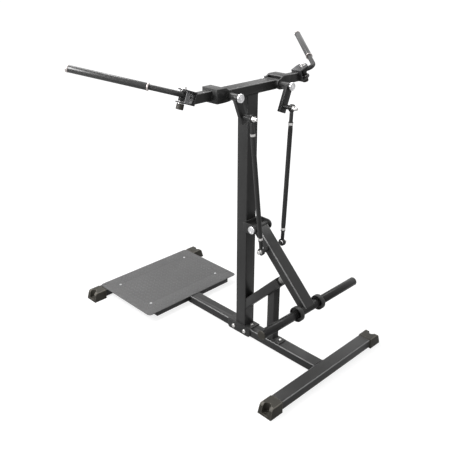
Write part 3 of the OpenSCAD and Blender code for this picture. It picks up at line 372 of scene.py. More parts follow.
def make_materials():
    tints = colours()
    # The corner tints of the black coat and of the olive plastic are a painted highlight.
    surface("black_coat", tints.coat, 0.36, fine=900.0, bump=0.00004, wear_and_highlight=0.30, dust=0.04,
            spread=0.12, specular=0.33, corner_highlight=1.0)
    surface("gloss_coat", tints.gloss, 0.26, fine=900.0, bump=0.00002, wear_and_highlight=0.3, dust=0.02,
            spread=0.12, specular=0.2)
    surface("clevis_coat", tints.clevis, 0.34, fine=900.0, bump=0.00003, wear_and_highlight=0.6, dust=0.04,
            spread=0.12, specular=0.4)
    surface("platform_coat", tints.plate, 0.60, fine=420.0, bump=0.0003, wear_and_highlight=0.35, dust=0.08,
            spread=0.10, specular=0.3)
    surface("zinc", tints.zinc, 0.32, metallic=1.0, fine=500.0, bump=0.00004, wear_and_highlight=0.0,
            dust=0.04, spread=0.10)
    surface("chrome", tints.chrome, 0.14, metallic=1.0, fine=300.0, bump=0.00001, wear_and_highlight=0.0,
            dust=0.02, mottle=0.05, spread=0.05)
    surface("grip_trim", tints.trim, 0.36, metallic=1.0, fine=400.0, bump=0.00003, wear_and_highlight=0.0,
            dust=0.03, mottle=0.08, spread=0.08)
    surface("axle_steel", tints.steel, 0.28, metallic=1.0, fine=400.0, bump=0.00003, wear_and_highlight=0.0)
    # The plastic's light worn colour on its edges is partly wear and partly a painted highlight.
    surface("olive_plastic", tints.plastic, 0.50, fine=600.0, bump=0.00012, wear_and_highlight=0.9, dust=0.04,
            worn_and_lit=(0.17, 0.16, 0.14), spread=0.15, specular=0.25, reach=0.007, corner_highlight=0.8,
            highlight_tint=(0.16, 0.15, 0.13))
    # Painted highlight on the rounded edges of the feet and the horn caps
    surface("plastic_edge_highlight", tints.plastic_edge_highlight, 0.50, fine=600.0, bump=0.00012, wear_and_highlight=0.0,
            dust=0.04, specular=0.25)
    surface("grip_rubber", tints.rubber, 0.27, fine=520.0, bump=0.00003, wear_and_highlight=0.0, dust=0.05,
            spread=0.10, specular=0.6)
    surface("bumper_rubber", tints.bumper, 0.66, fine=480.0, bump=0.0003, wear_and_highlight=0.0, dust=0.10,
            spread=0.12)


# Geometry Nodes trees for what repeats


def geometry_tree(name, inputs):
    """Empty geometry tree with named inputs, given as (name, socket type, default) rows."""
    tree = bpy.data.node_groups.new(name, "GeometryNodeTree")
    add_sockets(tree, [("Geometry", "NodeSocketGeometry", None), *inputs,
                       ("Material", "NodeSocketMaterial", None)])
    tree.interface.new_socket("Geometry", in_out="OUTPUT", socket_type="NodeSocketGeometry")
    source = add_node(tree, "NodeGroupInput", -1400, 0)
    return tree, source, add_node(tree, "NodeGroupOutput", 900, 0)


def close_tree(tree, source, target, instances):
    """Makes the instances real and gives them the tree's material."""
    real = wire(tree, add_node(tree, "GeometryNodeRealizeInstances", 400, 0),
                Geometry=instances)
    coated = wire(tree, add_node(tree, "GeometryNodeSetMaterial", 600, 0),
                  Geometry=real.outputs["Geometry"], Material=source.outputs["Material"])
    wire(tree, target, Geometry=coated.outputs["Geometry"])
    return tree


def row_tree(name, inputs, shape, flat):
    """Shapes set close together along every edge of the carrier, square to the edge."""
    tree, source, target = geometry_tree(name, [("Step", "NodeSocketFloat", 0.002), *inputs])
    curve = wire(tree, add_node(tree, "GeometryNodeMeshToCurve", -1100, 200),
                 Mesh=source.outputs["Geometry"])
    evened = wire(tree, add_node(tree, "GeometryNodeResampleCurve", -900, 200, mode="LENGTH"),
                  Curve=curve.outputs["Curve"], Length=source.outputs["Step"])
    tangent = add_node(tree, "GeometryNodeInputTangent", -900, -300)
    turn = wire(tree, add_node(tree, "FunctionNodeAlignRotationToVector", -650, -300, axis="Z"),
                Vector=tangent.outputs["Tangent"])
    row = wire(tree, add_node(tree, "GeometryNodeInstanceOnPoints", -300, 0),
               Points=evened.outputs["Curve"], Instance=shape(tree, source),
               Rotation=turn.outputs["Rotation"], Scale=(1.0, 1.0, flat))
    return close_tree(tree, source, target, row.outputs["Instances"])


def bead_ball(tree, source):
    ball = wire(tree, add_node(tree, "GeometryNodeMeshUVSphere", -900, -100),
                Segments=6, Rings=4, Radius=source.outputs["Radius"])
    return ball.outputs["Mesh"]


def thread_ring(tree, source):
    ring = wire(tree, add_node(tree, "GeometryNodeCurvePrimitiveCircle", -1100, -100),
                Resolution=24, Radius=source.outputs["Radius"])
    ridge = wire(tree, add_node(tree, "GeometryNodeCurvePrimitiveCircle", -1100, -250),
                 Resolution=4, Radius=source.outputs["Ridge"])
    swept = wire(tree, add_node(tree, "GeometryNodeCurveToMesh", -900, -150),
                 Curve=ring.outputs["Curve"], Profile_Curve=ridge.outputs["Curve"])
    return swept.outputs["Mesh"]


def bead_tree():
    """Weld bead of flattened balls."""
    return row_tree("weld_bead", [("Radius", "NodeSocketFloat", 0.0024)], bead_ball, 0.8)


def thread_tree():
    """Thread of ridges around a bolt's end."""
    return row_tree("bolt_thread", [("Radius", "NodeSocketFloat", 0.008),
                                    ("Ridge", "NodeSocketFloat", 0.0006)], thread_ring, 1.0)


def tread_tree():
    """Raised lozenges in a square grid, turned by turns to the left and to the right."""
    tree, source, target = geometry_tree(
        "tread_lozenges",
        [("Pitch", "NodeSocketFloat", 0.027), ("Columns", "NodeSocketInt", 27),
         ("Rows", "NodeSocketInt", 19), ("Length", "NodeSocketFloat", 0.022),
         ("Width", "NodeSocketFloat", 0.007), ("Height", "NodeSocketFloat", 0.0012),
         ("Middle", "NodeSocketVector", None), ("Screw Middle", "NodeSocketVector", None),
         ("Screw Place", "NodeSocketVector", None), ("Screw Room", "NodeSocketFloat", 0.016)],
    )
    pitch = source.outputs["Pitch"]
    spans = []
    for label, y in (("Columns", 400), ("Rows", 250)):
        gaps = maths(tree, "SUBTRACT", source.outputs[label], 1.0, -1200, y)
        spans.append(maths(tree, "MULTIPLY", gaps, pitch, -1050, y))
    grid = wire(tree, add_node(tree, "GeometryNodeMeshGrid", -850, 350),
                Size_X=spans[0], Size_Y=spans[1], Vertices_X=source.outputs["Columns"],
                Vertices_Y=source.outputs["Rows"])
    place = add_node(tree, "GeometryNodeInputPosition", -1200, -200)
    split = wire(tree, add_node(tree, "ShaderNodeSeparateXYZ", -1050, -200),
                 Vector=place.outputs["Position"])
    # Column and row of each point, whose sum is odd for every second lozenge
    steps = []
    for axis, span in (("X", spans[0]), ("Y", spans[1])):
        start = maths(tree, "MULTIPLY", span, 0.5, -900, -200)
        ahead = maths(tree, "ADD", split.outputs[axis], start, -800, -200)
        step = maths(tree, "DIVIDE", ahead, pitch, -700, -200)
        steps.append(maths(tree, "ROUND", step, 0.0, -600, -200))
    total = maths(tree, "ADD", steps[0], steps[1], -500, -200)
    odd = maths(tree, "FLOORED_MODULO", total, 2.0, -400, -200)
    side = maths(tree, "SUBTRACT", odd, 0.5, -300, -200)
    spin = wire(tree, add_node(tree, "ShaderNodeCombineXYZ", -100, -200),
                Z=maths(tree, "MULTIPLY", side, math.pi / 2, -200, -200))
    turn = wire(tree, add_node(tree, "FunctionNodeEulerToRotation", 0, -200),
                Euler=spin.outputs["Vector"])
    # Distance from the nearest screw. The four screws mirror each other about their middle.
    shifted = wire(tree, add_node(tree, "ShaderNodeVectorMath", -1100, -500,
                                  operation="SUBTRACT"),
                   i0=place.outputs["Position"], i1=source.outputs["Screw Middle"])
    mirrored = wire(tree, add_node(tree, "ShaderNodeVectorMath", -900, -500,
                                   operation="ABSOLUTE"),
                    i0=shifted.outputs["Vector"])
    apart = wire(tree, add_node(tree, "ShaderNodeVectorMath", -700, -500, operation="DISTANCE"),
                 i0=mirrored.outputs["Vector"], i1=source.outputs["Screw Place"])
    free = maths(tree, "GREATER_THAN", apart.outputs["Value"], source.outputs["Screw Room"],
                 -500, -500)
    size = wire(tree, add_node(tree, "ShaderNodeCombineXYZ", -100, -400),
                X=maths(tree, "MULTIPLY", source.outputs["Length"], 0.5, -300, -400),
                Y=maths(tree, "MULTIPLY", source.outputs["Width"], 0.5, -300, -500),
                Z=source.outputs["Height"])
    ball = wire(tree, add_node(tree, "GeometryNodeMeshUVSphere", -300, 300),
                Segments=8, Rings=4, Radius=1.0)
    rows = wire(tree, add_node(tree, "GeometryNodeInstanceOnPoints", 150, 0),
                Points=grid.outputs["Mesh"], Selection=free, Instance=ball.outputs["Mesh"],
                Rotation=turn.outputs["Rotation"], Scale=size.outputs["Vector"])
    placed = wire(tree, add_node(tree, "GeometryNodeTransform", 300, 200),
                  Geometry=rows.outputs["Instances"], Translation=source.outputs["Middle"])
    return close_tree(tree, source, target, placed.outputs["Geometry"])


TREE_MAKERS = {"weld_bead": bead_tree, "bolt_thread": thread_tree, "tread_lozenges": tread_tree}


# Pieces

BOX_TUBES = (
    "cross_tube", "rail", "crossbar", "lever_arm", "arm_tube", "platform_plate", "_hub",
)

# A corner face is narrower than the first length and longer than the second, in metres, and
# its normal's height is between the two limits.
# Corner faces take the tint of a painted highlight in their finish.
TUBE_CORNER, FOOT_CORNER = (0.003, 0.04), (0.0085, 0.012)
CORNER_LEAST_UP, CORNER_MOST_UP = 0.15, 0.99

# Rounding of a copied solid: distance between points that are one, angle between faces that are
# flat, and angle from which an edge is sharp
MERGE_DISTANCE = 1e-6
FLAT_ANGLE, SHARP_ANGLE, SMOOTH_ANGLE = (math.radians(angle) for angle in (0.4, 40.0, 35.0))


def assign(obj, name):
    """Gives an object one finish."""
    obj.data.materials.clear()
    obj.data.materials.append(FINISHES[name])


def node_slots():
    """Material slot of each node."""
    return {row["node"]: row["material_slot"] for row in frame["record"]["subparts"]}


def shade(obj, angle=SMOOTH_ANGLE):
    """Smooth shading that keeps edges sharper than the angle."""
    obj.data.shade_smooth()
    obj.data.set_sharp_from_angle(angle=angle)


def link(name, data):
    """New object of a mesh, a lamp or a camera in the scene."""
    obj = bpy.data.objects.new(name, data)
    bpy.context.scene.collection.objects.link(obj)
    return obj


def mark_corners(work, width, length):
    """Marks the long narrow upper corner faces, which catch light, for a painted highlight."""
    layer = work.faces.layers.float.new("corner")
    for face in work.faces:
        longest = max(edge.calc_length() for edge in face.edges)
        narrow = face.calc_area() / longest < width and longest > length
        if narrow and CORNER_LEAST_UP < face.normal.z < CORNER_MOST_UP:
            face[layer] = 1.0


def rounded_copy(node, width, segments=2, material=None, edge_material=None):
    """Copy of a CAD solid with merged points, joined flat faces and rounded sharp edges."""
    source = frame["nodes"][node]
    mesh = bpy.data.meshes.new(node + "_dressed")
    work = bmesh.new()
    work.from_mesh(source.data)
    bmesh.ops.remove_doubles(work, verts=work.verts, dist=MERGE_DISTANCE)
    bmesh.ops.dissolve_limit(work, angle_limit=FLAT_ANGLE, verts=work.verts, edges=work.edges)
    # The upper corners of tubes and feet are marked for a painted highlight.
    if node.endswith(BOX_TUBES):
        mark_corners(work, *TUBE_CORNER)
    elif node.endswith("_feet"):
        mark_corners(work, *FOOT_CORNER)
    work.to_mesh(mesh)
    work.free()
    obj = link(node + "_dressed", mesh)
    rounding = obj.modifiers.new("edges", "BEVEL")
    rounding.width = width
    rounding.segments = segments
    rounding.limit_method = "ANGLE"
    rounding.angle_limit = SHARP_ANGLE
    rounding.harden_normals = True
    rounding.use_clamp_overlap = True
    shade(obj, math.pi)
    slot = node_slots()[node]
    assign(obj, material or slot)
    if edge_material:
        obj.data.materials.append(FINISHES[edge_material])
        rounding.material = 1
    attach(obj, NODE_BODY[node])
    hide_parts(node)
    return obj


def new_piece(name, mesh, body, slot):
    """Object of a mesh that rides with a body and wears a slot's finish."""
    obj = link(name, mesh)
    assign(obj, slot)
    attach(obj, body)
    return obj


def grown(name, carrier_mesh, tree_name, material, values):
    """Plain mesh that a geometry tree makes from a carrier mesh."""
    tree = bpy.data.node_groups.get(tree_name) or TREE_MAKERS[tree_name]()
    carrier = link(name + "_carrier", carrier_mesh)
    modifier = carrier.modifiers.new("detail", "NODES")
    modifier.node_group = tree
    values = {"Material": FINISHES[material], **values}
    for item in tree.interface.items_tree:
        if item.item_type == "SOCKET" and item.in_out == "INPUT" and item.name in values:
            modifier[item.identifier] = values[item.name]
    graph = bpy.context.evaluated_depsgraph_get()
    mesh = bpy.data.meshes.new_from_object(carrier.evaluated_get(graph))
    mesh.name = name
    carrier.modifiers.remove(modifier)
    bpy.data.objects.remove(carrier)
    if not mesh.polygons:
        raise RuntimeError(name + " came out empty")
    mesh.shade_smooth()
    return mesh


def path_mesh(name, paths):
    """Mesh of edges along paths. A path is (points in millimetres, closed)."""
    points, edges = [], []
    for path, closed in paths:
        first = len(points)
        points += [Vector(point) * MM for point in path]
        edges += [(first + i, first + i + 1) for i in range(len(path) - 1)]
        if closed:
            edges.append((len(points) - 1, first))
    mesh = bpy.data.meshes.new(name)
    mesh.from_pydata(points, edges, [])
    return mesh


def frame_of(axis):
    """Two directions square to an axis that doesn't point up, and the axis itself."""
    axis = Vector(axis).normalized()
    side = Vector((0, 0, 1))
    first = side.cross(axis).normalized()
    return first, axis.cross(first), axis


def ring_path(centre, axis, radius, start=0.0, end=360.0):
    """Circle, or an arc of it, around a point."""
    first, second, _ = frame_of(axis)
    closed = end - start >= 360.0
    path = []
    for i in range(RING_STEPS if closed else RING_STEPS + 1):
        t = math.radians(start + (end - start) * i / RING_STEPS)
        path.append(Vector(centre) + radius * (first * math.cos(t) + second * math.sin(t)))
    return path, closed


def box_path(centre, first, second, half_first, half_second, corner=5.0):
    """Rounded rectangle around a tube of rectangular section."""
    first, second = Vector(first), Vector(second)
    path = []
    for quarter, (sign_a, sign_b) in enumerate(((1, 1), (-1, 1), (-1, -1), (1, -1))):
        middle = (Vector(centre) + first * sign_a * (half_first - corner)
                  + second * sign_b * (half_second - corner))
        for i in range(CORNER_STEPS + 1):
            t = math.radians(90 * (quarter + i / CORNER_STEPS))
            path.append(middle + corner * (first * math.cos(t) + second * math.sin(t)))
    return path, True


def turned(rings, centre, axis):
    """Mesh turned from rings (radius, height, sides) in millimetres. No sides is round."""
    first, second, axis = frame_of(axis)
    work = bmesh.new()
    loops = []
    for radius, height, sides in rings:
        loop = []
        for i in range(RING_STEPS):
            t = 2 * math.pi * i / RING_STEPS
            reach = radius
            if sides:
                step = 2 * math.pi / sides
                reach = radius / math.cos((t % step) - step / 2)
            point = Vector(centre) + axis * height + reach * (
                first * math.cos(t) + second * math.sin(t))
            loop.append(work.verts.new(point * MM))
        loops.append(loop)
    for low, high in zip(loops, loops[1:]):
        for i in range(RING_STEPS):
            work.faces.new((low[i - 1], low[i], high[i], high[i - 1]))
    work.faces.new(reversed(loops[0]))
    work.faces.new(loops[-1])
    bmesh.ops.recalc_face_normals(work, faces=work.faces)
    mesh = bpy.data.meshes.new("turned")
    work.to_mesh(mesh)
    work.free()
    return mesh


def joined(name, meshes):
    """One mesh of several, which are removed."""
    work = bmesh.new()
    for mesh in meshes:
        work.from_mesh(mesh)
    whole = bpy.data.meshes.new(name)
    work.to_mesh(whole)
    work.free()
    for mesh in meshes:
        bpy.data.meshes.remove(mesh)
    return whole


def mirrored_paths(paths, sign):
    """Paths of the right side, or with a sign of -1 those of the left side."""
    return [([(x * sign, y, z) for x, y, z in path], closed) for path, closed in paths]


# Steps


class FLY_OT_carried_nodes(Operator):
    """Gives every solid of the frame the finish of its material slot"""

    bl_idname = "fly.carried_nodes"
    bl_label = "Carried solids"

    def execute(self, context):
        make_materials()
        for node, slot in node_slots().items():
            assign(frame["nodes"][node], slot)
        return {"FINISHED"}


class FLY_OT_steel_edges(Operator):
    """Rounds the sharp edges of the coated steel parts"""

    bl_idname = "fly.steel_edges"
    bl_label = "Edges of the steel"

    def execute(self, context):
        for node, slot in node_slots().items():
            if slot in ("black_coat", "clevis_coat", "platform_coat"):
                finish = "gloss_coat" if node == "weight_horns" else None
                rounded_copy(node, sizes().edge, 2, finish)
        return {"FINISHED"}


class FLY_OT_moulded_edges(Operator):
    """Rounds the edges of the feet, the horn caps, the knobs and the rubber parts"""

    bl_idname = "fly.moulded_edges"
    bl_label = "Edges of the moulded parts"

    def execute(self, context):
        for node, slot in node_slots().items():
            if slot == "olive_plastic":
                # Feet and caps take a painted highlight colour on their rounded edges.
                edge_highlight = "plastic_edge_highlight" if node.endswith(("_feet", "_caps")) else None
                rounded_copy(node, sizes().moulded_edge, 3, None, edge_highlight)
            elif slot in ("grip_rubber", "bumper_rubber"):
                rounded_copy(node, sizes().edge, 3)
        return {"FINISHED"}


def coat_web_screws(piece):
    """Gives the two small screws in a clevis web the coat of the clevis."""
    piece.data.materials.append(FINISHES["clevis_coat"])
    for face in piece.data.polygons:
        if abs(face.center.x) < WEB_SCREW_X * MM:
            face.material_index = 1


class FLY_OT_bright_edges(Operator):
    """Rounds the edges of the bolts, the nuts and the grips' bright ends"""

    bl_idname = "fly.bright_edges"
    bl_label = "Edges of the bright parts"

    def execute(self, context):
        for node, slot in node_slots().items():
            if slot in ("zinc", "axle_steel"):
                finish = "axle_steel" if node == "platform_screws" else None
                piece = rounded_copy(node, sizes().nut_edge, 2, finish)
                if node.endswith("_clevis_bolts"):
                    coat_web_screws(piece)
            elif node.endswith("_grip_trim"):
                rounded_copy(node, sizes().nut_edge, 2, "grip_trim")
        return {"FINISHED"}


def cap(radius, height, centre, axis):
    """Bright cap with a rounded rim, a shallow dish and a bolt head with a hexagon socket."""
    return turned([
        (radius - 0.6, 0.0, 0), (radius, 0.6, 0), (radius, height - 3.4, 0),
        (radius - 0.4, height - 1.9, 0), (radius - 1.4, height - 0.7, 0),
        (radius - 2.8, height - 0.1, 0), (radius - 4.2, height, 0),
        (radius - 5.4, height - 0.3, 0), (radius - 6.0, height - 1.3, 0),
        (11.2, height - 1.6, 0), (10.6, height - 1.5, 0), (10.4, height - 0.8, 0),
        (9.6, height - 0.3, 0), (8.0, height - 0.1, 0), (6.2, height - 0.1, 0),
        (5.4, height - 0.4, 0), (4.2, height - 0.6, 6), (4.2, height - 4.0, 6),
        (2.0, height - 4.2, 6),
    ], centre, axis)


def replace_turned(node, meshes):
    """Puts turned meshes in the place of a chromed node."""
    name = node + "_turned"
    piece = new_piece(name, joined(name, meshes), NODE_BODY[node], "chrome")
    shade(piece)
    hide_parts(node)


class FLY_OT_axle_caps(Operator):
    """Turns the bright caps on the ends of the arm axles and of the lever axle"""

    bl_idname = "fly.axle_caps"
    bl_label = "Axle caps"

    def execute(self, context):
        for side, sign in SIDES:
            x = AXLE_X * sign
            replace_turned(side + "_axle_caps", [
                cap(CAP_R, CAP_T, (x, UPRIGHT_Y + CRANK_TUBE_END, AXLE_Z), (0, 1, 0)),
                cap(FRONT_CAP_R, FRONT_CAP_T, (x, UPRIGHT_Y - HUB_HALF, AXLE_Z), (0, -1, 0)),
            ])
        shaft = turned([(LEVER_AXLE_R, -BRACKET_HALF, 0), (LEVER_AXLE_R, BRACKET_HALF, 0)],
                       (0, LEVER_Y, LEVER_Z), (1, 0, 0))
        replace_turned("lever_axle", [shaft, *(
            cap(CAP_R, CAP_T, (BRACKET_HALF * sign, LEVER_Y, LEVER_Z), (sign, 0, 0))
            for _, sign in SIDES)])
        return {"FINISHED"}


class FLY_OT_tread(Operator):
    """Raises the lozenges of the platform's tread"""

    bl_idname = "fly.tread"
    bl_label = "Platform tread"

    def execute(self, context):
        size = sizes()
        middle = PLATE_FRONT + PLATE_L / 2
        counts = [int((length * MM - size.tread_border) / size.tread_pitch) + 1
                  for length in (PLATE_W, PLATE_L)]
        mesh = grown(
            "platform_tread", bpy.data.meshes.new("tread_carrier"), "tread_lozenges",
            "platform_coat", {
                "Pitch": size.tread_pitch, "Columns": counts[0], "Rows": counts[1],
                "Length": size.tread_length, "Width": size.tread_width,
                "Height": size.tread_height,
                "Middle": (0.0, middle * MM, PLATE_TOP * MM),
                "Screw Middle": (0.0, ((SCREW_FRONT + SCREW_REAR) / 2 - middle) * MM, 0.0),
                "Screw Place": (SCREW_X * MM, (SCREW_REAR - SCREW_FRONT) / 2 * MM, 0.0),
                "Screw Room": SCREW_ROOM * MM,
            })
        new_piece("platform_tread", mesh, "frame", "platform_coat")
        return {"FINISHED"}


def frame_beads():
    """Weld paths of the frame."""
    x, y, z = (1, 0, 0), (0, 1, 0), (0, 0, 1)
    half = TUBE_W / 2
    near, far = UPRIGHT_Y - half, UPRIGHT_Y + half
    paths = [box_path((0, side * CROSS_INNER, FLOOR_GAP + TUBE_H / 2), x, z, half, TUBE_H / 2)
             for side in (-1, 1)]
    paths += [box_path((0, UPRIGHT_Y, level), x, y, half, half)
              for level in (SADDLE_TOP, AXLE_Z - HOUSING_R)]
    reach = math.sqrt(HOUSING_R ** 2 - CROSSBAR_IN ** 2)
    bend = math.degrees(math.asin(reach / HOUSING_R))
    for _, sign in SIDES:
        for face in (near, far):
            arc = [(sign * (AXLE_X - HOUSING_R * math.cos(math.radians(t))), face,
                    AXLE_Z + HOUSING_R * math.sin(math.radians(t)))
                   for t in [-bend + 2 * bend * i / ARC_STEPS for i in range(ARC_STEPS + 1)]]
            paths.append((arc, False))
        for lift in (-reach, reach):
            edge = sign * (AXLE_X - CROSSBAR_IN)
            paths.append(([(edge, near, AXLE_Z + lift), (edge, far, AXLE_Z + lift)], False))
        paths.append(([(sign * half, far, LEVER_Z - BRACKET_H / 2),
                       (sign * half, far, LEVER_Z + BRACKET_H / 2)], False))
    paths.append(box_path((0, far, (STRUT_LOW + STRUT_HIGH) / 2), x, z, half,
                          (STRUT_HIGH - STRUT_LOW) / 2))
    post, closed = box_path((0, POST_Y, TUBE_TOP + POST_PLATE_T), x, y, POST_W / 2, POST_W / 2,
                            POST_CORNER)
    underside = STRUT_Z - UPRIGHT_Y - TUBE_H / 2 * math.sqrt(2)
    paths.append((post, closed))
    paths.append(([(point.x, point.y, point.y + underside) for point in post], closed))
    return paths


def lever_beads():
    """Weld paths of the lever."""
    pin_y, pin_z = LEVER_Y + LINK_PIN_DROP, LEVER_Z - LINK_PIN_DROP
    paths = []
    for _, sign in SIDES:
        x = sign * TUBE_W / 2
        paths.append(ring_path((x, LEVER_Y, LEVER_Z), (1, 0, 0), LEVER_TUBE_R))
        paths.append(ring_path((x, pin_y, pin_z), (1, 0, 0), BOSS_R))
    return paths


def arm_beads():
    """Weld paths of the right arm: its tube, its clevis bracket and its crank."""
    y = (0, 1, 0)
    level = AXLE_Z + ARM_RISE
    tilt = math.radians(CLEVIS_TILT)
    slope = (-math.sin(tilt), 0, math.cos(tilt))
    paths = [box_path((AXLE_X + HUB_OUT, UPRIGHT_Y, level), y, (0, 0, 1), ARM_W / 2, ARM_H / 2),
             box_path((CLEVIS_WEB_X, UPRIGHT_Y, level), y, slope, ARM_W / 2,
                      ARM_H / 2 / math.cos(tilt))]
    back = UPRIGHT_Y + CRANK_BACK
    paths.append(ring_path((AXLE_X, UPRIGHT_Y + HUB_HALF, AXLE_Z), y, CRANK_TUBE_R))
    for face in (back - CRANK_T, back):
        paths.append(ring_path((AXLE_X, face, AXLE_Z), y, CRANK_TUBE_R,
                               180 - CRANK_ANGLE, 360 - CRANK_ANGLE))
    paths.append(ring_path((BALL_X, back, BALL_Z), y, BOSS_R))
    return paths


def handle_bead():
    """Weld path of the right handle tube on its sleeve."""
    place = (Matrix.Translation((CLEVIS_X, UPRIGHT_Y, CLEVIS_Z))
             @ Matrix.Rotation(math.radians(-CLEVIS_TILT), 4, "Y")
             @ Matrix.Rotation(math.radians(HANDLE_SWING), 4, "Z"))
    path, closed = ring_path((SLEEVE_R - BEAD_SINK, 0, HANDLE_RISE), (1, 0, 0), HANDLE_R)
    return [([place @ point for point in path], closed)]


class FLY_OT_weld_beads(Operator):
    """Lays the weld beads of the frame, the lever, the arms and the handles"""

    bl_idname = "fly.weld_beads"
    bl_label = "Weld beads"

    def execute(self, context):
        rows = [("frame", frame_beads(), 1), ("lever", lever_beads(), 1)]
        for side, sign in SIDES:
            rows.append((side + "_arm", arm_beads(), sign))
            rows.append((side + "_handle", handle_bead(), sign))
        size = sizes()
        for body, paths, sign in rows:
            name = body + "_weld_beads"
            carrier = path_mesh(name + "_paths", mirrored_paths(paths, sign))
            mesh = grown(name, carrier, "weld_bead", "black_coat",
                         {"Radius": size.bead, "Step": size.bead_step})
            new_piece(name, mesh, body, "black_coat")
        return {"FINISHED"}


def thread_paths():
    """Threaded ends past the nuts: the link pins' on the lever, the ball studs' on the rods."""
    pin_y, pin_z = LEVER_Y + LINK_PIN_DROP, LEVER_Z - LINK_PIN_DROP
    face = LINK_PIN_X + PIN_NUT_FACE
    span = (face + THREAD_MARGIN, face + PIN_END - THREAD_MARGIN)
    paths = {"lever": [([(sign * x, pin_y, pin_z) for x in span], False) for _, sign in SIDES]}
    face = BALL_Y + BALL_FACE
    span = (face + THREAD_MARGIN, face + STUD_END - THREAD_MARGIN)
    for side, sign in SIDES:
        paths[side + "_link"] = [([(sign * BALL_X, y, BALL_Z) for y in span], False)]
    return paths


class FLY_OT_threads(Operator):
    """Cuts the threads on the ends of the link pins and of the ball studs"""

    bl_idname = "fly.threads"
    bl_label = "Threads"

    def execute(self, context):
        for body, paths in thread_paths().items():
            name = body + "_threads"
            carrier = path_mesh(name + "_paths", paths)
            pitch = sizes().thread_pitch
            mesh = grown(name, carrier, "bolt_thread", "zinc",
                         {"Step": pitch, "Radius": (PIN_R - THREAD_INSET) * MM,
                          "Ridge": pitch * THREAD_RIDGE})
            new_piece(name, mesh, body, "zinc")
        return {"FINISHED"}


# Stage: the floor and its glow, which grows with the distance from the machine; the world's
# light; the lamps, which are discs that look at one point; and the camera
FLOOR_HALF, FLOOR_COLOUR, FLOOR_ROUGHNESS = 60.0, (0.30, 0.30, 0.30, 1.0), 0.9
GLOW_FROM, GLOW_TO, GLOW_NEAR, GLOW_FAR, GLOW_IN_GLOSS = 1.5, 4.5, 0.82, 0.98, 0.4
WORLD_LIGHT, WORLD_SEEN = 0.26, 1.0
WHITE = (1.0, 1.0, 1.0, 1.0)
LAMP_TARGET = (0.0, 0.0, 0.7)
# Name, place, diameter and power
LAMPS = (
    ("edge_x", (-0.3, -4.2, 6.1), 2.6, 105.0),
    ("edge_y", (-4.1, -0.3, 6.3), 2.6, 90.0),
    ("sheen", (-0.6, -1.4, 4.3), 0.9, 30.0),
    ("side", (2.5, -0.5, 2.5), 1.8, 50.0),
    ("high_side", (1.5, -0.4, 2.1), 0.8, 21.0),
    ("fill", (0.4, 4.4, 4.0), 2.0, 30.0),
)
CAMERA_PLACE = (2.284, 2.358, 2.140)
AZIMUTH, ELEVATION, ROLL = (math.radians(angle) for angle in (135.89, 24.56, -0.07))
LENS, SENSOR_WIDTH, SHIFT_Y = 50.1, 36.0, -0.0005


def seen_directly(tree, x, y):
    """1 for rays from the camera, off a glossy surface or through a clear one, 0 for others."""
    path = add_node(tree, "ShaderNodeLightPath", x, y)
    first = maths(tree, "MAXIMUM", path.outputs["Is Camera Ray"], path.outputs["Is Glossy Ray"],
                  x + 200, y)
    return maths(tree, "MAXIMUM", first, path.outputs["Is Transmission Ray"], x + 400, y)


def build_floor():
    mesh = bpy.data.meshes.new("floor")
    corners = ((-1, -1), (1, -1), (1, 1), (-1, 1))
    mesh.from_pydata([(x * FLOOR_HALF, y * FLOOR_HALF, 0) for x, y in corners], [],
                     [(0, 1, 2, 3)])
    material = bpy.data.materials.new("pale_floor")
    material.use_nodes = True
    tree = material.node_tree
    place = add_node(tree, "ShaderNodeTexCoord", -1100, -500)
    away = wire(tree, add_node(tree, "ShaderNodeVectorMath", -900, -500, operation="LENGTH"),
                i0=place.outputs["Object"])
    level = ramp(tree, away.outputs["Value"], -700, -500, From_Min=GLOW_FROM, From_Max=GLOW_TO,
                 To_Min=GLOW_NEAR, To_Max=GLOW_FAR)
    path = add_node(tree, "ShaderNodeLightPath", -900, -200)
    shown = wire(tree, add_node(tree, "ShaderNodeMath", -700, -200, operation="MULTIPLY_ADD"),
                 i0=path.outputs["Is Glossy Ray"], i1=GLOW_IN_GLOSS,
                 i2=path.outputs["Is Camera Ray"])
    glow = maths(tree, "MULTIPLY", shown.outputs["Value"], level, -450, -300)
    wire(tree, tree.nodes["Principled BSDF"], Base_Color=FLOOR_COLOUR,
         Roughness=FLOOR_ROUGHNESS, Specular_IOR_Level=0.0, Emission_Color=WHITE,
         Emission_Strength=glow)
    mesh.materials.append(material)
    link("floor", mesh)


def build_light():
    world = bpy.data.worlds.new("studio")
    bpy.context.scene.world = world
    world.use_nodes = True
    tree = world.node_tree
    level = ramp(tree, seen_directly(tree, -700, 0), -100, 0, To_Min=WORLD_LIGHT,
                 To_Max=WORLD_SEEN)
    wire(tree, tree.nodes["Background"], Color=WHITE, Strength=level)
    for name, place, size, power in LAMPS:
        data = bpy.data.lights.new(name, "AREA")
        data.shape = "DISK"
        data.size = size
        data.energy = power
        lamp = link(name, data)
        lamp.location = place
        ahead = Vector(LAMP_TARGET) - Vector(place)
        lamp.rotation_euler = ahead.to_track_quat("-Z", "Y").to_euler()


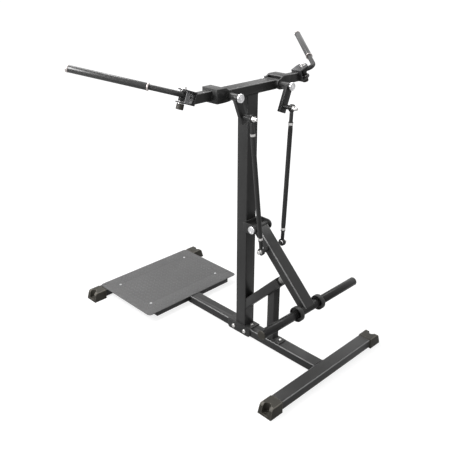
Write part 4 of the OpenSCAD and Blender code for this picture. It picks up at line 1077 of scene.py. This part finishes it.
def build_camera():
    right = Vector((math.cos(AZIMUTH), math.sin(AZIMUTH), 0.0))
    back = Vector((math.sin(AZIMUTH) * math.cos(ELEVATION),
                   -math.cos(AZIMUTH) * math.cos(ELEVATION), math.sin(ELEVATION)))
    data = bpy.data.cameras.new("camera")
    data.lens = LENS
    data.sensor_width = SENSOR_WIDTH
    data.shift_y = SHIFT_Y
    camera = link("camera", data)
    axes = Matrix((right, back.cross(right), back)).transposed() @ Matrix.Rotation(ROLL, 3, "Z")
    camera.matrix_world = Matrix.Translation(CAMERA_PLACE) @ axes.to_4x4()
    bpy.context.scene.camera = camera
    bpy.context.scene.view_settings.view_transform = "Standard"


class FLY_OT_stage(Operator):
    """Builds the floor, the studio light and the camera"""

    bl_idname = "fly.stage"
    bl_label = "Stage and camera"

    def execute(self, context):
        build_floor()
        build_light()
        build_camera()
        return {"FINISHED"}


# Add-on


STEPS = (FLY_OT_carried_nodes, FLY_OT_steel_edges, FLY_OT_moulded_edges, FLY_OT_bright_edges,
         FLY_OT_axle_caps, FLY_OT_tread, FLY_OT_weld_beads, FLY_OT_threads, FLY_OT_stage)


class FLY_PT_panel(Panel):
    """Lists the steps that dress the machine"""

    bl_label = "Fly machine"
    bl_idname = "FLY_PT_panel"
    bl_space_type = "VIEW_3D"
    bl_region_type = "UI"
    bl_category = "Fly Machine"

    def draw(self, context):
        for group in (context.scene.fly_colours, context.scene.fly_sizes):
            box = self.layout.box()
            for key in group.bl_rna.properties.keys():
                if key not in ("rna_type", "name"):
                    box.prop(group, key)
        for step in STEPS:
            self.layout.operator(step.bl_idname)


CLASSES = (FlyColours, FlySizes, *STEPS, FLY_PT_panel)


def register():
    for cls in CLASSES:
        bpy.utils.register_class(cls)
    bpy.types.Scene.fly_colours = PointerProperty(type=FlyColours)
    bpy.types.Scene.fly_sizes = PointerProperty(type=FlySizes)


def unregister():
    del bpy.types.Scene.fly_sizes
    del bpy.types.Scene.fly_colours
    for cls in reversed(CLASSES):
        bpy.utils.unregister_class(cls)


def main():
    register()
    bpy.ops.fly.carried_nodes()
    bpy.ops.fly.steel_edges()
    bpy.ops.fly.moulded_edges()
    bpy.ops.fly.bright_edges()
    bpy.ops.fly.axle_caps()
    bpy.ops.fly.tread()
    bpy.ops.fly.weld_beads()
    bpy.ops.fly.threads()
    bpy.ops.fly.stage()


if __name__ == "__main__":
    main()
